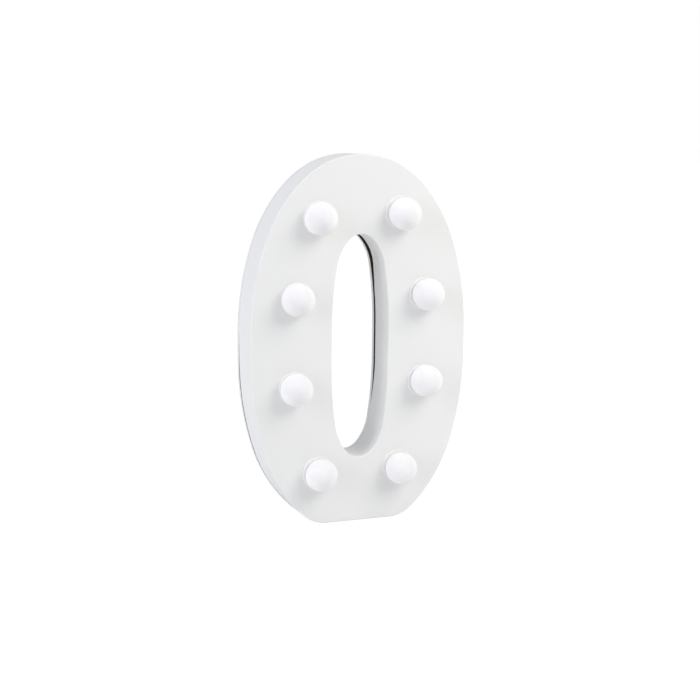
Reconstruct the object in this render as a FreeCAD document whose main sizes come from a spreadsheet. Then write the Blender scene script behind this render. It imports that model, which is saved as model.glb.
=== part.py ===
import FreeCAD, Part
import math
import os
import Sketcher

# Battery light-up letter: an oval plastic casing with a counter, eight globe bulbs on its face,
# a battery bay with a tilting door and a slide switch at the back.
#
# Millimetres. X to the viewer's right, Y from the face to the back, Z up. The origin is on the
# surface that the letter stands on, midway across its foot and midway between face and back.

SIZES = (
    # Outline of the letter, seen from the front. It is an oval with its foot cut flat. Each quarter
    # of the oval is three tangent arcs, and turns are the angles where one arc meets the next.
    ("letter_height", 220.0, "foot to crown"),
    ("half_width", 68.5, "centre line to the side"),
    ("foot_cut", 7.4, "height that the flat foot cuts off the oval"),
    ("waist_half", 7.8, "half of the straight length of a side"),
    ("side_turn", 18.25, "end of the side arc, in degrees"),
    ("shoulder_turn", 44.9, "end of the shoulder arc, in degrees"),
    ("cap_radius", 53.3, "arc over the crown and under the foot"),
    ("foot_radius", 22.0, "corner between the flat foot and the cap arc"),
    # Counter, the hole in the letter. Its quarters are three tangent arcs too.
    ("counter_half_width", 18.15, "centre line to the counter's side"),
    ("crown_band", 46.75, "crown to the counter's upper end"),
    ("foot_band", 39.3, "foot to the counter's lower end"),
    ("counter_straight", 10.5, "half of the straight length of its side"),
    ("counter_side_turn", 8.9, "end of its side arc, in degrees"),
    ("counter_shoulder_turn", 40.5, "end of its shoulder arc, in degrees"),
    ("counter_cap_radius", 10.85, "arc at its crown and at its foot"),
    # Casing.
    ("case_depth", 26.1, "face to back"),
    ("face_thick", 2.0, "face of the shell"),
    ("wall", 2.0, "outer wall of the shell"),
    ("counter_wall", 1.8, "wall round the counter"),
    ("rim_depth", 3.5, "back cover's rim, from the back"),
    ("rim_thick", 1.8, "wall of the rim"),
    ("skin", 1.8, "flat of the back cover"),
    ("edge_round", 0.6, "outside edges of the casing"),
    # The cover stands off the shell unevenly, so the seam is wider at some heights than at others.
    ("seam_foot", 0.4, "seam round the outside, at the foot"),
    ("seam_low", 1.2, "below the waist"),
    ("seam_high", 0.1, "from a little above the waist to the crown"),
    ("counter_seam_foot", 0.1, "seam in the counter, at its foot"),
    ("counter_seam_side", 2.4, "along its sides"),
    ("counter_seam_crown", 5.6, "at its crown"),
    ("lip_thick", 1.2, "locating lip of the back cover"),
    ("lip_reach", 3.0, "lip beyond the rim"),
    ("lip_play", 0.25, "between lip and shell wall"),
    ("lip_foot", 45.0, "height of the lip's lower part above the foot"),
    ("lip_crown", 55.0, "depth of the lip's upper part below the crown"),
    # Screw posts and cover screws.
    ("post_radius", 3.2, "post of the shell"),
    ("pilot_depth", 12.0, "pilot hole in a post"),
    ("boss_radius", 4.2, "boss of the back cover"),
    ("boss_depth", 4.0, "back to the foot of a boss"),
    ("head_radius", 2.4, "screw head"),
    ("head_thick", 1.6, "screw head"),
    ("head_play", 0.4, "round the head in its counterbore"),
    ("head_sink", 2.2, "depth of the counterbore"),
    ("shank_radius", 1.25, "screw shank"),
    ("shank_play", 0.05, "round the shank in post and boss"),
    ("shank_length", 10.0, "under the head"),
    ("crown_post_out", 20.0, "off the centre line"),
    ("crown_post_down", 14.5, "below the crown"),
    ("shoulder_post_in", 22.0, "inside the letter's side"),
    ("shoulder_post_rise", 14.3, "above the switch"),
    ("hip_post_in", 20.0, "inside the letter's side"),
    ("hip_post_up", 56.0, "above the foot"),
    ("foot_post_up", 19.0, "above the foot"),
    # Sockets, set a little unevenly. Crown and foot sockets are placed from the centre line, the
    # others inwards from the middle of their stroke. Lean is how far a globe sits off its socket.
    ("bulb_1_out", 26.65, "crown, left"),
    ("bulb_1_down", 36.8, "below the crown"),
    ("bulb_2_out", 24.75, "crown, right"),
    ("bulb_2_down", 34.0, "below the crown"),
    ("bulb_3_in", 3.2, "second row, left"),
    ("bulb_3_up", 29.9, "above the waist"),
    ("bulb_4_in", 2.2, "second row, right"),
    ("bulb_4_up", 30.5, "above the waist"),
    ("bulb_5_in", 1.8, "third row, left"),
    ("bulb_5_down", 22.9, "below the waist"),
    ("bulb_6_in", 2.4, "third row, right"),
    ("bulb_6_down", 22.6, "below the waist"),
    ("bulb_7_out", 26.25, "foot, left"),
    ("bulb_7_up", 31.4, "above the foot"),
    ("bulb_8_out", 24.85, "foot, right"),
    ("bulb_8_up", 32.1, "above the foot"),
    ("lean_1_x", -0.7, "first globe"),
    ("lean_1_z", -0.3, "first globe"),
    ("lean_2_x", 0.8, "second globe"),
    ("lean_2_z", -0.9, "second globe"),
    ("lean_3_x", -0.9, "third globe"),
    ("lean_3_z", 0.0, "third globe"),
    ("lean_4_x", 0.6, "fourth globe"),
    ("lean_4_z", -0.1, "fourth globe"),
    ("lean_5_x", -0.4, "fifth globe"),
    ("lean_5_z", 0.0, "fifth globe"),
    ("lean_6_x", 0.5, "sixth globe"),
    ("lean_6_z", 0.5, "sixth globe"),
    ("lean_7_x", 0.2, "seventh globe"),
    ("lean_7_z", -0.4, "seventh globe"),
    ("lean_8_x", 0.7, "eighth globe"),
    ("lean_8_z", -0.9, "eighth globe"),
    ("barrel_radius", 7.4, "socket barrel through the face"),
    ("barrel_play", 0.1, "round the barrel in the face"),
    ("barrel_depth", 6.0, "barrel behind the front of the face"),
    ("barb_reach", 0.4, "snap barb beyond the barrel"),
    ("barb_width", 0.9, "snap barb along the barrel"),
    ("barb_play", 0.1, "between barb and face"),
    ("flange_radius", 9.9, "ring that shows round the bulb"),
    ("flange_thick", 0.9, "ring that shows round the bulb"),
    ("flange_round", 0.6, "front edge of the ring"),
    ("socket_floor", 2.0, "rear wall of the socket, which holds the LED"),
    # Globes.
    ("globe_radius", 9.62, "outside of the globe"),
    ("globe_stand", 5.3, "face to the globe's centre"),
    ("globe_wall", 0.9, "blown wall"),
    ("globe_seat", 0.1, "between globe and ring"),
    ("neck_radius", 5.0, "neck of the globe"),
    ("neck_play", 1.4, "round the neck in the socket"),
    ("neck_end_play", 0.35, "neck's end to the socket's floor"),
    # LEDs.
    ("led_radius", 2.5, "LED body"),
    ("led_flange_radius", 2.9, "LED base ring"),
    ("led_flange_thick", 1.0, "LED base ring"),
    ("led_length", 8.6, "base to the tip of the dome"),
    ("led_play", 0.1, "round the LED in its socket"),
    ("leg_thick", 0.5, "square LED leg"),
    ("leg_pitch", 2.54, "between the legs"),
    ("leg_length", 1.9, "leg behind the base ring"),
    # Wires of the lamp chain.
    ("wire_radius", 0.5, "insulated wire"),
    ("wire_play", 0.12, "between wire and LED leg"),
    ("wire_bend", 5.0, "bends at the LEDs"),
    ("wire_rise", 1.6, "extra height of the black wire over the crown LEDs"),
    ("lead_bend", 3.0, "bends of the battery leads"),
    ("lead_end_play", 0.1, "between a lead's end and its pin or tab"),
    ("lead_rise", 4.2, "straight length of a lead from its tab"),
    # Battery bay in the back cover.
    ("cell_radius", 7.25, "AA cell"),
    ("cell_length", 50.5, "AA cell over its nub"),
    ("nub_radius", 2.75, "positive nub"),
    ("nub_length", 1.3, "positive nub"),
    ("cell_gap", 0.5, "between the cells"),
    ("cell_play", 0.3, "cell to wall, floor and door"),
    ("spring_length", 6.3, "fitted length of a contact spring"),
    ("plate_thick", 0.4, "contact plates"),
    ("plate_half", 4.6, "half width of a contact plate"),
    ("plate_play", 0.05, "plate to its neighbours"),
    ("tab_width", 3.0, "solder tab of a contact plate"),
    ("tab_reach", 3.4, "tab beyond the bay's inside"),
    ("tab_play", 0.1, "tab in its slot"),
    ("bay_wall", 2.6, "walls of the bay"),
    ("bay_floor", 1.2, "floor of the bay"),
    ("door_ledge", 1.2, "ledge that the door rests on"),
    ("door_thick", 1.6, "door"),
    ("door_play", 0.25, "round the door"),
    ("door_seat", 0.1, "door to its ledge"),
    ("door_corner", 1.5, "corners of the door"),
    ("lug_offset", 12.7, "bay's middle to a lug"),
    ("lug_width", 4.0, "door lug"),
    ("lug_thick", 1.3, "door lug"),
    ("lug_reach", 2.0, "lug beyond the door's foot"),
    ("lug_block", 1.6, "block that carries a lug, up the door"),
    ("lug_play", 0.3, "round a lug"),
    ("latch_width", 10.0, "snap tab"),
    ("latch_height", 8.0, "snap tab"),
    ("latch_slot", 0.8, "slots beside the snap tab"),
    ("latch_reach", 1.0, "nose of the snap tab beyond the door"),
    ("grip_radius", 0.35, "ribs on the snap tab"),
    ("grip_pitch", 1.6, "between the ribs"),
    # Springs.
    ("coil_wire", 0.35, "spring wire radius"),
    ("coil_big", 3.9, "spring radius at its plate"),
    ("coil_small", 2.6, "spring radius at the cell"),
    ("coil_turns", 4.0, "turns"),
    # Slide switch.
    ("switch_in", 1.5, "inside the middle of its stroke"),
    ("switch_rise", 15.2, "above the bay's inside"),
    ("well_half_x", 7.0, "finger well, half width"),
    ("well_half_z", 4.0, "finger well, half height"),
    ("well_depth", 1.8, "finger well"),
    ("well_floor", 1.2, "floor of the finger well"),
    ("well_rim", 3.2, "solid round the well, for the switch screws"),
    ("switch_half_x", 6.3, "switch body"),
    ("switch_half_z", 3.3, "switch body"),
    ("switch_deep", 4.5, "switch body"),
    ("ear_thick", 0.5, "switch ears"),
    ("ear_half_x", 9.8, "switch ears"),
    ("ear_half_z", 2.7, "switch ears"),
    ("ear_hole_x", 8.4, "middle to an ear's hole"),
    ("ear_screw_radius", 0.8, "ear screw shank"),
    ("ear_screw_head", 1.5, "ear screw head"),
    ("ear_head_thick", 0.9, "ear screw head"),
    ("ear_screw_length", 2.4, "ear screw under its head"),
    ("pin_thick", 0.5, "switch pins"),
    ("pin_pitch", 3.0, "between the pins"),
    ("pin_length", 3.4, "pins behind the body"),
    ("knob_half_x", 1.8, "knob"),
    ("knob_half_z", 1.7, "knob"),
    ("knob_travel", 3.0, "off to on"),
    ("knob_sink", 0.3, "knob below the back"),
    ("knob_play", 0.15, "round the knob in its slot"),
    ("knob_foot", 1.0, "knob's flange inside the switch"),
    ("knob_flange", 0.8, "flange beyond the knob"),
    ("knob_round", 0.25, "edges of the knob's top"),
    # Series resistor, between the switch and the chain.
    ("resistor_radius", 0.9, "resistor body"),
    ("resistor_length", 3.2, "resistor body"),
    ("lead_radius", 0.25, "resistor leads"),
    # Keyhole for a wall screw.
    ("key_down", 30.0, "middle of the entry, below the crown"),
    ("key_radius", 4.5, "entry for the screw's head"),
    ("key_neck", 2.3, "half width of the neck"),
    ("key_rise", 9.0, "entry to the neck's end"),
)

size = {name: value for name, value, _ in SIZES}

document = FreeCAD.newDocument("light_up_letter")
sheet = document.addObject("Spreadsheet::Sheet", "Sizes")
for row, (name, value, note) in enumerate(SIZES, start=1):
    sheet.set("A%d" % row, name)
    sheet.set("B%d" % row, str(value))
    sheet.set("C%d" % row, note)
    sheet.setAlias("B%d" % row, name)
document.recompute()

# How a sketch numbers its two axes, whose crossing is its origin, and the points of a curve.
ORIGIN, Y_AXIS = range(-1, -3, -1)
START, END, CENTRE = range(1, 4)


# Lengths: a number and the expression that binds it, both from the same shares of named sizes.

def length(number=0.0, **shares):
    total = number + sum(share * size[name] for name, share in shares.items())
    text = " + ".join("(%r) * Sizes.%s" % (share, name) for name, share in shares.items())
    if number:
        text = text + " + (%r)" % number if text else repr(number)
    return total, text or "0"


def minus(value):
    return -value[0], "-(%s)" % value[1]


def plus(*values):
    return sum(value[0] for value in values), " + ".join("(%s)" % value[1] for value in values)


def part_of(value, share):
    return value[0] * share, "(%s) * %r" % (value[1], share)


def bind(target, prop, value):
    target.setExpression(prop, value[1])


def degrees(value):
    return math.radians(value[0]), "(%s) * 1 deg" % value[1]


FRONT = length(case_depth=-0.5)
BACK = length(case_depth=0.5)
RIM = plus(BACK, length(rim_depth=-1))
SKIN = plus(BACK, length(skin=-1))
WAIST = length(letter_height=0.5, foot_cut=-0.5)
COUNTER_Z = length(letter_height=0.5, crown_band=-0.5, foot_band=0.5)
COUNTER_REACH = length(letter_height=0.5, crown_band=-0.5, foot_band=-0.5)
STROKE_X = length(half_width=0.5, counter_half_width=0.5)


# Sketches.

def origin_plane(body, role):
    return next(item for item in body.Origin.OriginFeatures if item.Role == role)


def sketch_on(body, name, role, offset):
    sketch = body.newObject("Sketcher::SketchObject", name)
    sketch.AttachmentSupport = [(origin_plane(body, role), "")]
    sketch.MapMode = "FlatFace"
    bind(sketch, "AttachmentOffset.Base.z", offset)
    return sketch


def sketch_at_depth(body, name, depth):
    """A sketch seen from the front: its x is X, its y is Z, and it faces the front."""
    return sketch_on(body, name, "XZ_Plane", minus(depth))


def hold(sketch, kind, *places):
    sketch.addConstraint(Sketcher.Constraint(kind, *places))


def measure(sketch, kind, places, value):
    index = sketch.addConstraint(Sketcher.Constraint(kind, *places, value[0]))
    sketch.setExpression("Constraints[%d]" % index, value[1])


def place_point(sketch, geometry, point, x_value, y_value):
    measure(sketch, "DistanceX", (ORIGIN, START, geometry, point), x_value)
    measure(sketch, "DistanceY", (ORIGIN, START, geometry, point), y_value)


def circle(sketch, x_value, y_value, radius):
    centre = FreeCAD.Vector(x_value[0], y_value[0], 0)
    index = sketch.addGeometry(Part.Circle(centre, FreeCAD.Vector(0, 0, 1), radius[0]))
    place_point(sketch, index, CENTRE, x_value, y_value)
    measure(sketch, "Radius", (index,), radius)


def polygon(sketch, corners):
    """A closed loop of straight lines, each corner placed by its own two lengths."""
    points = [FreeCAD.Vector(x_value[0], y_value[0], 0) for x_value, y_value in corners]
    first = sketch.GeometryCount
    count = len(points)
    for i in range(count):
        sketch.addGeometry(Part.LineSegment(points[i], points[(i + 1) % count]))
    for i in range(count):
        hold(sketch, "Coincident", first + i, END, first + (i + 1) % count, START)
    for i, (x_value, y_value) in enumerate(corners):
        place_point(sketch, first + i, START, x_value, y_value)


def rectangle(sketch, left, right, low, high):
    polygon(sketch, ((left, low), (right, low), (right, high), (left, high)))


def centred_rectangle(sketch, x_value, y_value, half_x, half_y):
    rectangle(sketch, plus(x_value, minus(half_x)), plus(x_value, half_x),
              plus(y_value, minus(half_y)), plus(y_value, half_y))


def arc_points(centre, radius, start, stop):
    """An arc of a sketch, counter-clockwise from start to stop, both points on the circle."""
    first = math.atan2(start[1] - centre[1], start[0] - centre[0])
    last = math.atan2(stop[1] - centre[1], stop[0] - centre[0])
    ring = Part.Circle(FreeCAD.Vector(centre[0], centre[1], 0), FreeCAD.Vector(0, 0, 1), radius)
    return Part.ArcOfCircle(ring, first, last)


def join(sketch, loop):
    """Tangent joints all round a loop of (geometry, point at its start, point at its end)."""
    for i, (geometry, _, leaving) in enumerate(loop):
        following, entering, _ = loop[(i + 1) % len(loop)]
        hold(sketch, "Tangent", geometry, leaving, following, entering)


def quarter(width, half_height, straight, side_turn, shoulder_turn, cap_radius):
    """Centres, radii and joints of the first quarter of the oval, seen from its middle."""
    side_out, side_up = 1 - math.cos(side_turn), math.sin(side_turn)
    shoulder_out = math.cos(side_turn) - math.cos(shoulder_turn)
    shoulder_up = math.sin(shoulder_turn) - math.sin(side_turn)
    out = width - cap_radius * math.cos(shoulder_turn)
    up = half_height - straight - cap_radius * (1 - math.sin(shoulder_turn))
    scale = side_out * shoulder_up - side_up * shoulder_out
    side_radius = (out * shoulder_up - up * shoulder_out) / scale
    shoulder_radius = (side_out * up - side_up * out) / scale

    def along(centre, radius, turn):
        return centre[0] + radius * math.cos(turn), centre[1] + radius * math.sin(turn)

    side = (width - side_radius, straight)
    side_end = along(side, side_radius, side_turn)
    shoulder = along(side_end, -shoulder_radius, side_turn)
    cap_start = along(shoulder, shoulder_radius, shoulder_turn)
    cap = (0.0, half_height - cap_radius)
    return side, side_radius, shoulder, shoulder_radius, cap, side_end, cap_start


def add_arc(sketch, centre, radius, start, stop):
    return sketch.addGeometry(arc_points(centre, radius, start, stop))


def add_line(sketch, start, stop):
    return sketch.addGeometry(Part.LineSegment(FreeCAD.Vector(*start, 0), FreeCAD.Vector(*stop, 0)))


def oval_side(sketch, middle, width, straight, arcs, mirror):
    """One side of an oval, counter-clockwise from cap to cap: mirror is 1 right and -1 left."""
    side, side_radius, shoulder, shoulder_radius, _, side_end, cap_start = arcs

    def at(point, flip):
        return mirror * point[0], middle[0] + flip * point[1]

    line_end = (width[0], straight[0])
    return (
        add_arc(sketch, at(shoulder, -mirror), shoulder_radius, at(cap_start, -mirror), at(side_end, -mirror)),
        add_arc(sketch, at(side, -mirror), side_radius, at(side_end, -mirror), at(line_end, -mirror)),
        add_line(sketch, at(line_end, -mirror), at(line_end, mirror)),
        add_arc(sketch, at(side, mirror), side_radius, at(line_end, mirror), at(side_end, mirror)),
        add_arc(sketch, at(shoulder, mirror), shoulder_radius, at(side_end, mirror), at(cap_start, mirror)),
    )


def hold_oval_side(sketch, pieces, middle, width, straight, side_turn, shoulder_turn, mirror):
    first_shoulder, first_side, line, last_side, last_shoulder = pieces
    hold(sketch, "Vertical", line)
    measure(sketch, "DistanceX", (ORIGIN, START, line, START), part_of(width, mirror))
    for point, flip in ((START, -mirror), (END, mirror)):
        measure(sketch, "DistanceY", (ORIGIN, START, line, point), plus(middle, part_of(straight, flip)))
    shoulder_bend = plus(shoulder_turn, minus(side_turn))
    for arc, bend in ((first_side, side_turn), (last_side, side_turn),
                      (first_shoulder, shoulder_bend), (last_shoulder, shoulder_bend)):
        measure(sketch, "Angle", (arc,), degrees(bend))


def hold_cap(sketch, arc, radius, height):
    hold(sketch, "PointOnObject", arc, CENTRE, Y_AXIS)
    measure(sketch, "DistanceY", (ORIGIN, START, arc, CENTRE), height)
    measure(sketch, "Radius", (arc,), radius)


def letter_loop(sketch, inset):
    """The letter's outline, drawn in by an inset all round."""
    width = plus(length(half_width=1), minus(inset))
    straight = length(waist_half=1)
    cap_radius = plus(length(cap_radius=1), minus(inset))
    foot_radius = plus(length(foot_radius=1), minus(inset))
    side_turn = length(side_turn=1)
    shoulder_turn = length(shoulder_turn=1)
    waist = WAIST[0]
    half_height = size["letter_height"] - waist - inset[0]
    arcs = quarter(width[0], half_height, straight[0], degrees(side_turn)[0],
                   degrees(shoulder_turn)[0], cap_radius[0])
    cap, _, (cap_start_x, cap_start_up) = arcs[4:]
    cap_low = waist - cap[1]
    corner_x = math.sqrt((cap_radius[0] - foot_radius[0]) ** 2
                         - (cap_low - size["foot_radius"]) ** 2)
    corner_up = size["foot_radius"]
    stretch = cap_radius[0] / (cap_radius[0] - foot_radius[0])
    corner_end_x = corner_x * stretch
    corner_end_up = cap_low + (corner_up - cap_low) * stretch
    low_joint_up = waist - cap_start_up
    foot = add_line(sketch, (-corner_x, inset[0]), (corner_x, inset[0]))
    right_corner = add_arc(sketch, (corner_x, corner_up), foot_radius[0],
                           (corner_x, inset[0]), (corner_end_x, corner_end_up))
    right_cap = add_arc(sketch, (0, cap_low), cap_radius[0],
                        (corner_end_x, corner_end_up), (cap_start_x, low_joint_up))
    crown = add_arc(sketch, (0, waist + cap[1]), cap_radius[0],
                    (cap_start_x, waist + cap_start_up), (-cap_start_x, waist + cap_start_up))
    left_cap = add_arc(sketch, (0, cap_low), cap_radius[0],
                       (-cap_start_x, low_joint_up), (-corner_end_x, corner_end_up))
    left_corner = add_arc(sketch, (-corner_x, corner_up), foot_radius[0],
                          (-corner_end_x, corner_end_up), (-corner_x, inset[0]))
    right, left = (oval_side(sketch, WAIST, width, straight, arcs, mirror) for mirror in (1, -1))
    loop = (foot, right_corner, right_cap, *right, crown, *left, left_cap, left_corner)
    join(sketch, [(item, START, END) for item in loop])
    hold(sketch, "Horizontal", foot)
    measure(sketch, "DistanceY", (ORIGIN, START, foot, START), inset)
    for pieces, mirror in ((right, 1), (left, -1)):
        hold_oval_side(sketch, pieces, WAIST, width, straight, side_turn, shoulder_turn, mirror)
    for corner in (right_corner, left_corner):
        measure(sketch, "Radius", (corner,), foot_radius)
    low_centre = length(foot_cut=-1, cap_radius=1)
    for arc, height in ((crown, length(letter_height=1, cap_radius=-1)),
                        (right_cap, low_centre), (left_cap, low_centre)):
        hold_cap(sketch, arc, cap_radius, height)


def counter_loop(sketch, outset):
    """The counter's outline, grown by an outset all round."""
    width = plus(length(counter_half_width=1), outset)
    straight = length(counter_straight=1)
    reach = plus(COUNTER_REACH, outset)
    cap_radius = plus(length(counter_cap_radius=1), outset)
    side_turn = length(counter_side_turn=1)
    shoulder_turn = length(counter_shoulder_turn=1)
    middle = COUNTER_Z[0]
    arcs = quarter(width[0], reach[0], straight[0], degrees(side_turn)[0],
                   degrees(shoulder_turn)[0], cap_radius[0])
    cap, _, (joint_x, joint_up) = arcs[4:]
    right, left = (oval_side(sketch, COUNTER_Z, width, straight, arcs, mirror) for mirror in (1, -1))
    crown = add_arc(sketch, (0, middle + cap[1]), cap_radius[0],
                    (joint_x, middle + joint_up), (-joint_x, middle + joint_up))
    foot = add_arc(sketch, (0, middle - cap[1]), cap_radius[0],
                   (-joint_x, middle - joint_up), (joint_x, middle - joint_up))
    join(sketch, [(item, START, END) for item in (*right, crown, *left, foot)])
    for pieces, mirror in ((right, 1), (left, -1)):
        hold_oval_side(sketch, pieces, COUNTER_Z, width, straight, side_turn, shoulder_turn, mirror)
    for arc, flip in ((crown, 1), (foot, -1)):
        height = plus(COUNTER_Z, part_of(plus(reach, minus(cap_radius)), flip))
        hold_cap(sketch, arc, cap_radius, height)


# Features.

def new_body(name):
    body = document.addObject("PartDesign::Body", name)
    body.Label = name
    return body


def settle(body, feature, grows):
    """Recompute, and stop if a feature added or removed nothing."""
    before = feature.BaseFeature.Shape.Volume if feature.BaseFeature else 0.0
    document.recompute()
    after = feature.Shape.Volume
    if (after - before if grows else before - after) < 1e-3:
        raise RuntimeError("%s changes nothing" % feature.Label)
    body.Tip = feature
    return feature


def pad(body, name, sketch, depth, to_back=False):
    """A pad runs from its sketch towards the front, or towards the back."""
    feature = body.newObject("PartDesign::Pad", name)
    feature.Profile = sketch
    feature.Reversed = to_back
    bind(feature, "Length", depth)
    return settle(body, feature, grows=True)


def pocket(body, name, sketch, depth, to_front=False):
    """A pocket runs from its sketch towards the back, or towards the front."""
    feature = body.newObject("PartDesign::Pocket", name)
    feature.Profile = sketch
    feature.Reversed = to_front
    bind(feature, "Length", depth)
    return settle(body, feature, grows=False)


def pad_to(body, name, start, stop, draw):
    """Draw at the deeper end of the pad, and pad it forward from stop to start."""
    sketch = sketch_at_depth(body, name + "_sketch", stop)
    draw(sketch)
    return pad(body, name, sketch, plus(stop, minus(start)))


def pocket_to(body, name, start, stop, draw):
    """Draw at the front end of the pocket, and cut from start back to stop."""
    sketch = sketch_at_depth(body, name + "_sketch", start)
    draw(sketch)
    return pocket(body, name, sketch, plus(stop, minus(start)))


def revolve(body, name, corners, bows=()):
    """A turned piece: the corners of its profile, as radius and depth, turned about the Y axis.

    A bow is an arc in place of a line: the number of the corner that it leaves, the depth of its
    centre and its radius.
    """
    sketch = sketch_on(body, name + "_sketch", "XY_Plane", length())
    points = [FreeCAD.Vector(x_value[0], y_value[0], 0) for x_value, y_value in corners]
    count = len(points)
    bow_at = {corner: (centre, radius) for corner, centre, radius in bows}
    ends = []
    for i in range(count):
        start, stop = points[i], points[(i + 1) % count]
        if i not in bow_at:
            sketch.addGeometry(Part.LineSegment(start, stop))
            ends.append((START, END))
            continue
        centre, radius = bow_at[i]
        middle = FreeCAD.Vector(0, centre[0], 0)
        clockwise = (start - middle).cross(stop - middle).z < 0
        first, last = (stop, start) if clockwise else (start, stop)
        sketch.addGeometry(arc_points(middle, radius[0], first, last))
        ends.append((END, START) if clockwise else (START, END))
    for i in range(count):
        following = (i + 1) % count
        hold(sketch, "Coincident", i, ends[i][1], following, ends[following][0])
    for i, (x_value, y_value) in enumerate(corners):
        spot = (i, ends[i][0])
        on_bow = i in bow_at or (i - 1) % count in bow_at
        on_axis = x_value[0] == 0
        if on_axis:
            hold(sketch, "PointOnObject", *spot, Y_AXIS)
        elif not on_bow:
            measure(sketch, "DistanceX", (ORIGIN, START, *spot), x_value)
        if not (on_axis and on_bow):
            measure(sketch, "DistanceY", (ORIGIN, START, *spot), y_value)
    for i, (centre, radius) in bow_at.items():
        hold(sketch, "PointOnObject", i, CENTRE, Y_AXIS)
        measure(sketch, "DistanceY", (ORIGIN, START, i, CENTRE), centre)
        measure(sketch, "Radius", (i,), radius)
    feature = body.newObject("PartDesign::Revolution", name)
    feature.Profile = sketch
    feature.ReferenceAxis = (sketch, ["V_Axis"])
    feature.Angle = 360.0
    return settle(body, feature, grows=True)


def edges_in_plane(shape, depth):
    names = []
    for i, edge in enumerate(shape.Edges, start=1):
        box = edge.BoundBox
        if abs(box.YMin - depth) < 1e-4 and abs(box.YMax - depth) < 1e-4:
            names.append("Edge%d" % i)
    return names


def round_edges(body, name, base, edges, radius):
    feature = body.newObject("PartDesign::Fillet", name)
    feature.Base = (base, edges)
    bind(feature, "Radius", radius)
    document.recompute()
    body.Tip = feature
    return feature


# Places that repeat.

BULBS = range(1, 9)
SOCKET_PLACES = {
    1: (length(bulb_1_out=-1), length(letter_height=1, bulb_1_down=-1)),
    2: (length(bulb_2_out=1), length(letter_height=1, bulb_2_down=-1)),
    3: (plus(minus(STROKE_X), length(bulb_3_in=1)), plus(WAIST, length(bulb_3_up=1))),
    4: (plus(STROKE_X, length(bulb_4_in=-1)), plus(WAIST, length(bulb_4_up=1))),
    5: (plus(minus(STROKE_X), length(bulb_5_in=1)), plus(WAIST, length(bulb_5_down=-1))),
    6: (plus(STROKE_X, length(bulb_6_in=-1)), plus(WAIST, length(bulb_6_down=-1))),
    7: (length(bulb_7_out=-1), length(bulb_7_up=1)),
    8: (length(bulb_8_out=1), length(bulb_8_up=1)),
}

def circles_at(places, radius):
    def draw(sketch):
        for x_value, z_value in places:
            circle(sketch, x_value, z_value, radius)
    return draw


HEAD_SEAT = plus(BACK, length(head_sink=-1))
POST_TOP = plus(BACK, length(boss_depth=-1))
FACE_REAR = plus(FRONT, length(face_thick=1))
SHANK_HOLE = length(shank_radius=1, shank_play=1)


# Front shell.

def both_loops(inset, outset):
    def draw(sketch):
        letter_loop(sketch, inset)
        counter_loop(sketch, outset)
    return draw


def letter_ring(outer, inner):
    def draw(sketch):
        letter_loop(sketch, outer)
        letter_loop(sketch, inner)
    return draw


def counter_ring(inner, outer):
    def draw(sketch):
        counter_loop(sketch, inner)
        counter_loop(sketch, outer)
    return draw


def seam_cut(body, name, half_x, gaps):
    """Takes the rear edge of a wall off, so that a seam stays open behind it: height, gap."""
    sketch = sketch_on(body, name + "_sketch", "YZ_Plane", half_x)
    behind = plus(RIM, length(rim_depth=1))
    edge = tuple((plus(RIM, minus(gap)), height) for height, gap in gaps)
    polygon(sketch, edge + ((behind, gaps[-1][0]), (behind, gaps[0][0])))
    return pocket(body, name, sketch, plus(half_x, half_x))


def make_front_shell():
    body = new_body("front_shell")
    none = length()
    wall = length(wall=1)
    pad_to(body, "face", FRONT, FACE_REAR, both_loops(none, none))
    pad_to(body, "outer_wall", FRONT, RIM, letter_ring(none, wall))
    seam_cut(body, "outer_seam", length(half_width=1.2),
             ((length(letter_height=-0.1), length(seam_foot=1)),
              (length(letter_height=0.05), length(seam_foot=1)),
              (part_of(WAIST, 0.4), length(seam_low=1)),
              (part_of(WAIST, 0.85), length(seam_low=1)),
              (part_of(WAIST, 1.1), length(seam_high=1)),
              (length(letter_height=1.1), length(seam_high=1))))
    base = pad_to(body, "counter_wall", FRONT, RIM, counter_ring(none, length(counter_wall=1)))
    beyond = length(counter_wall=2)
    base = seam_cut(body, "counter_seam", plus(length(counter_half_width=1), beyond),
                    ((plus(COUNTER_Z, minus(COUNTER_REACH), minus(beyond)), length(counter_seam_foot=1)),
                     (plus(COUNTER_Z, part_of(COUNTER_REACH, -0.6)), length(counter_seam_foot=1)),
                     (plus(COUNTER_Z, part_of(COUNTER_REACH, -0.25)), length(counter_seam_side=1)),
                     (plus(COUNTER_Z, part_of(COUNTER_REACH, 0.5)), length(counter_seam_side=1)),
                     (plus(COUNTER_Z, part_of(COUNTER_REACH, 0.85)), length(counter_seam_crown=1)),
                     (plus(COUNTER_Z, COUNTER_REACH, beyond), length(counter_seam_crown=1))))
    round_edges(body, "face_edges", base, edges_in_plane(base.Shape, FRONT[0]), length(edge_round=1))
    pad_to(body, "posts", FACE_REAR, POST_TOP, circles_at(POST_PLACES, length(post_radius=1)))
    pilot_end = plus(POST_TOP, length(pilot_depth=-1))
    pocket_to(body, "pilots", pilot_end, POST_TOP, circles_at(POST_PLACES, SHANK_HOLE))
    pocket_to(body, "bulb_holes", FRONT, FACE_REAR,
              circles_at(SOCKET_PLACES.values(), length(barrel_radius=1, barrel_play=1)))
    return body


# Battery bay: shared places.

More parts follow.
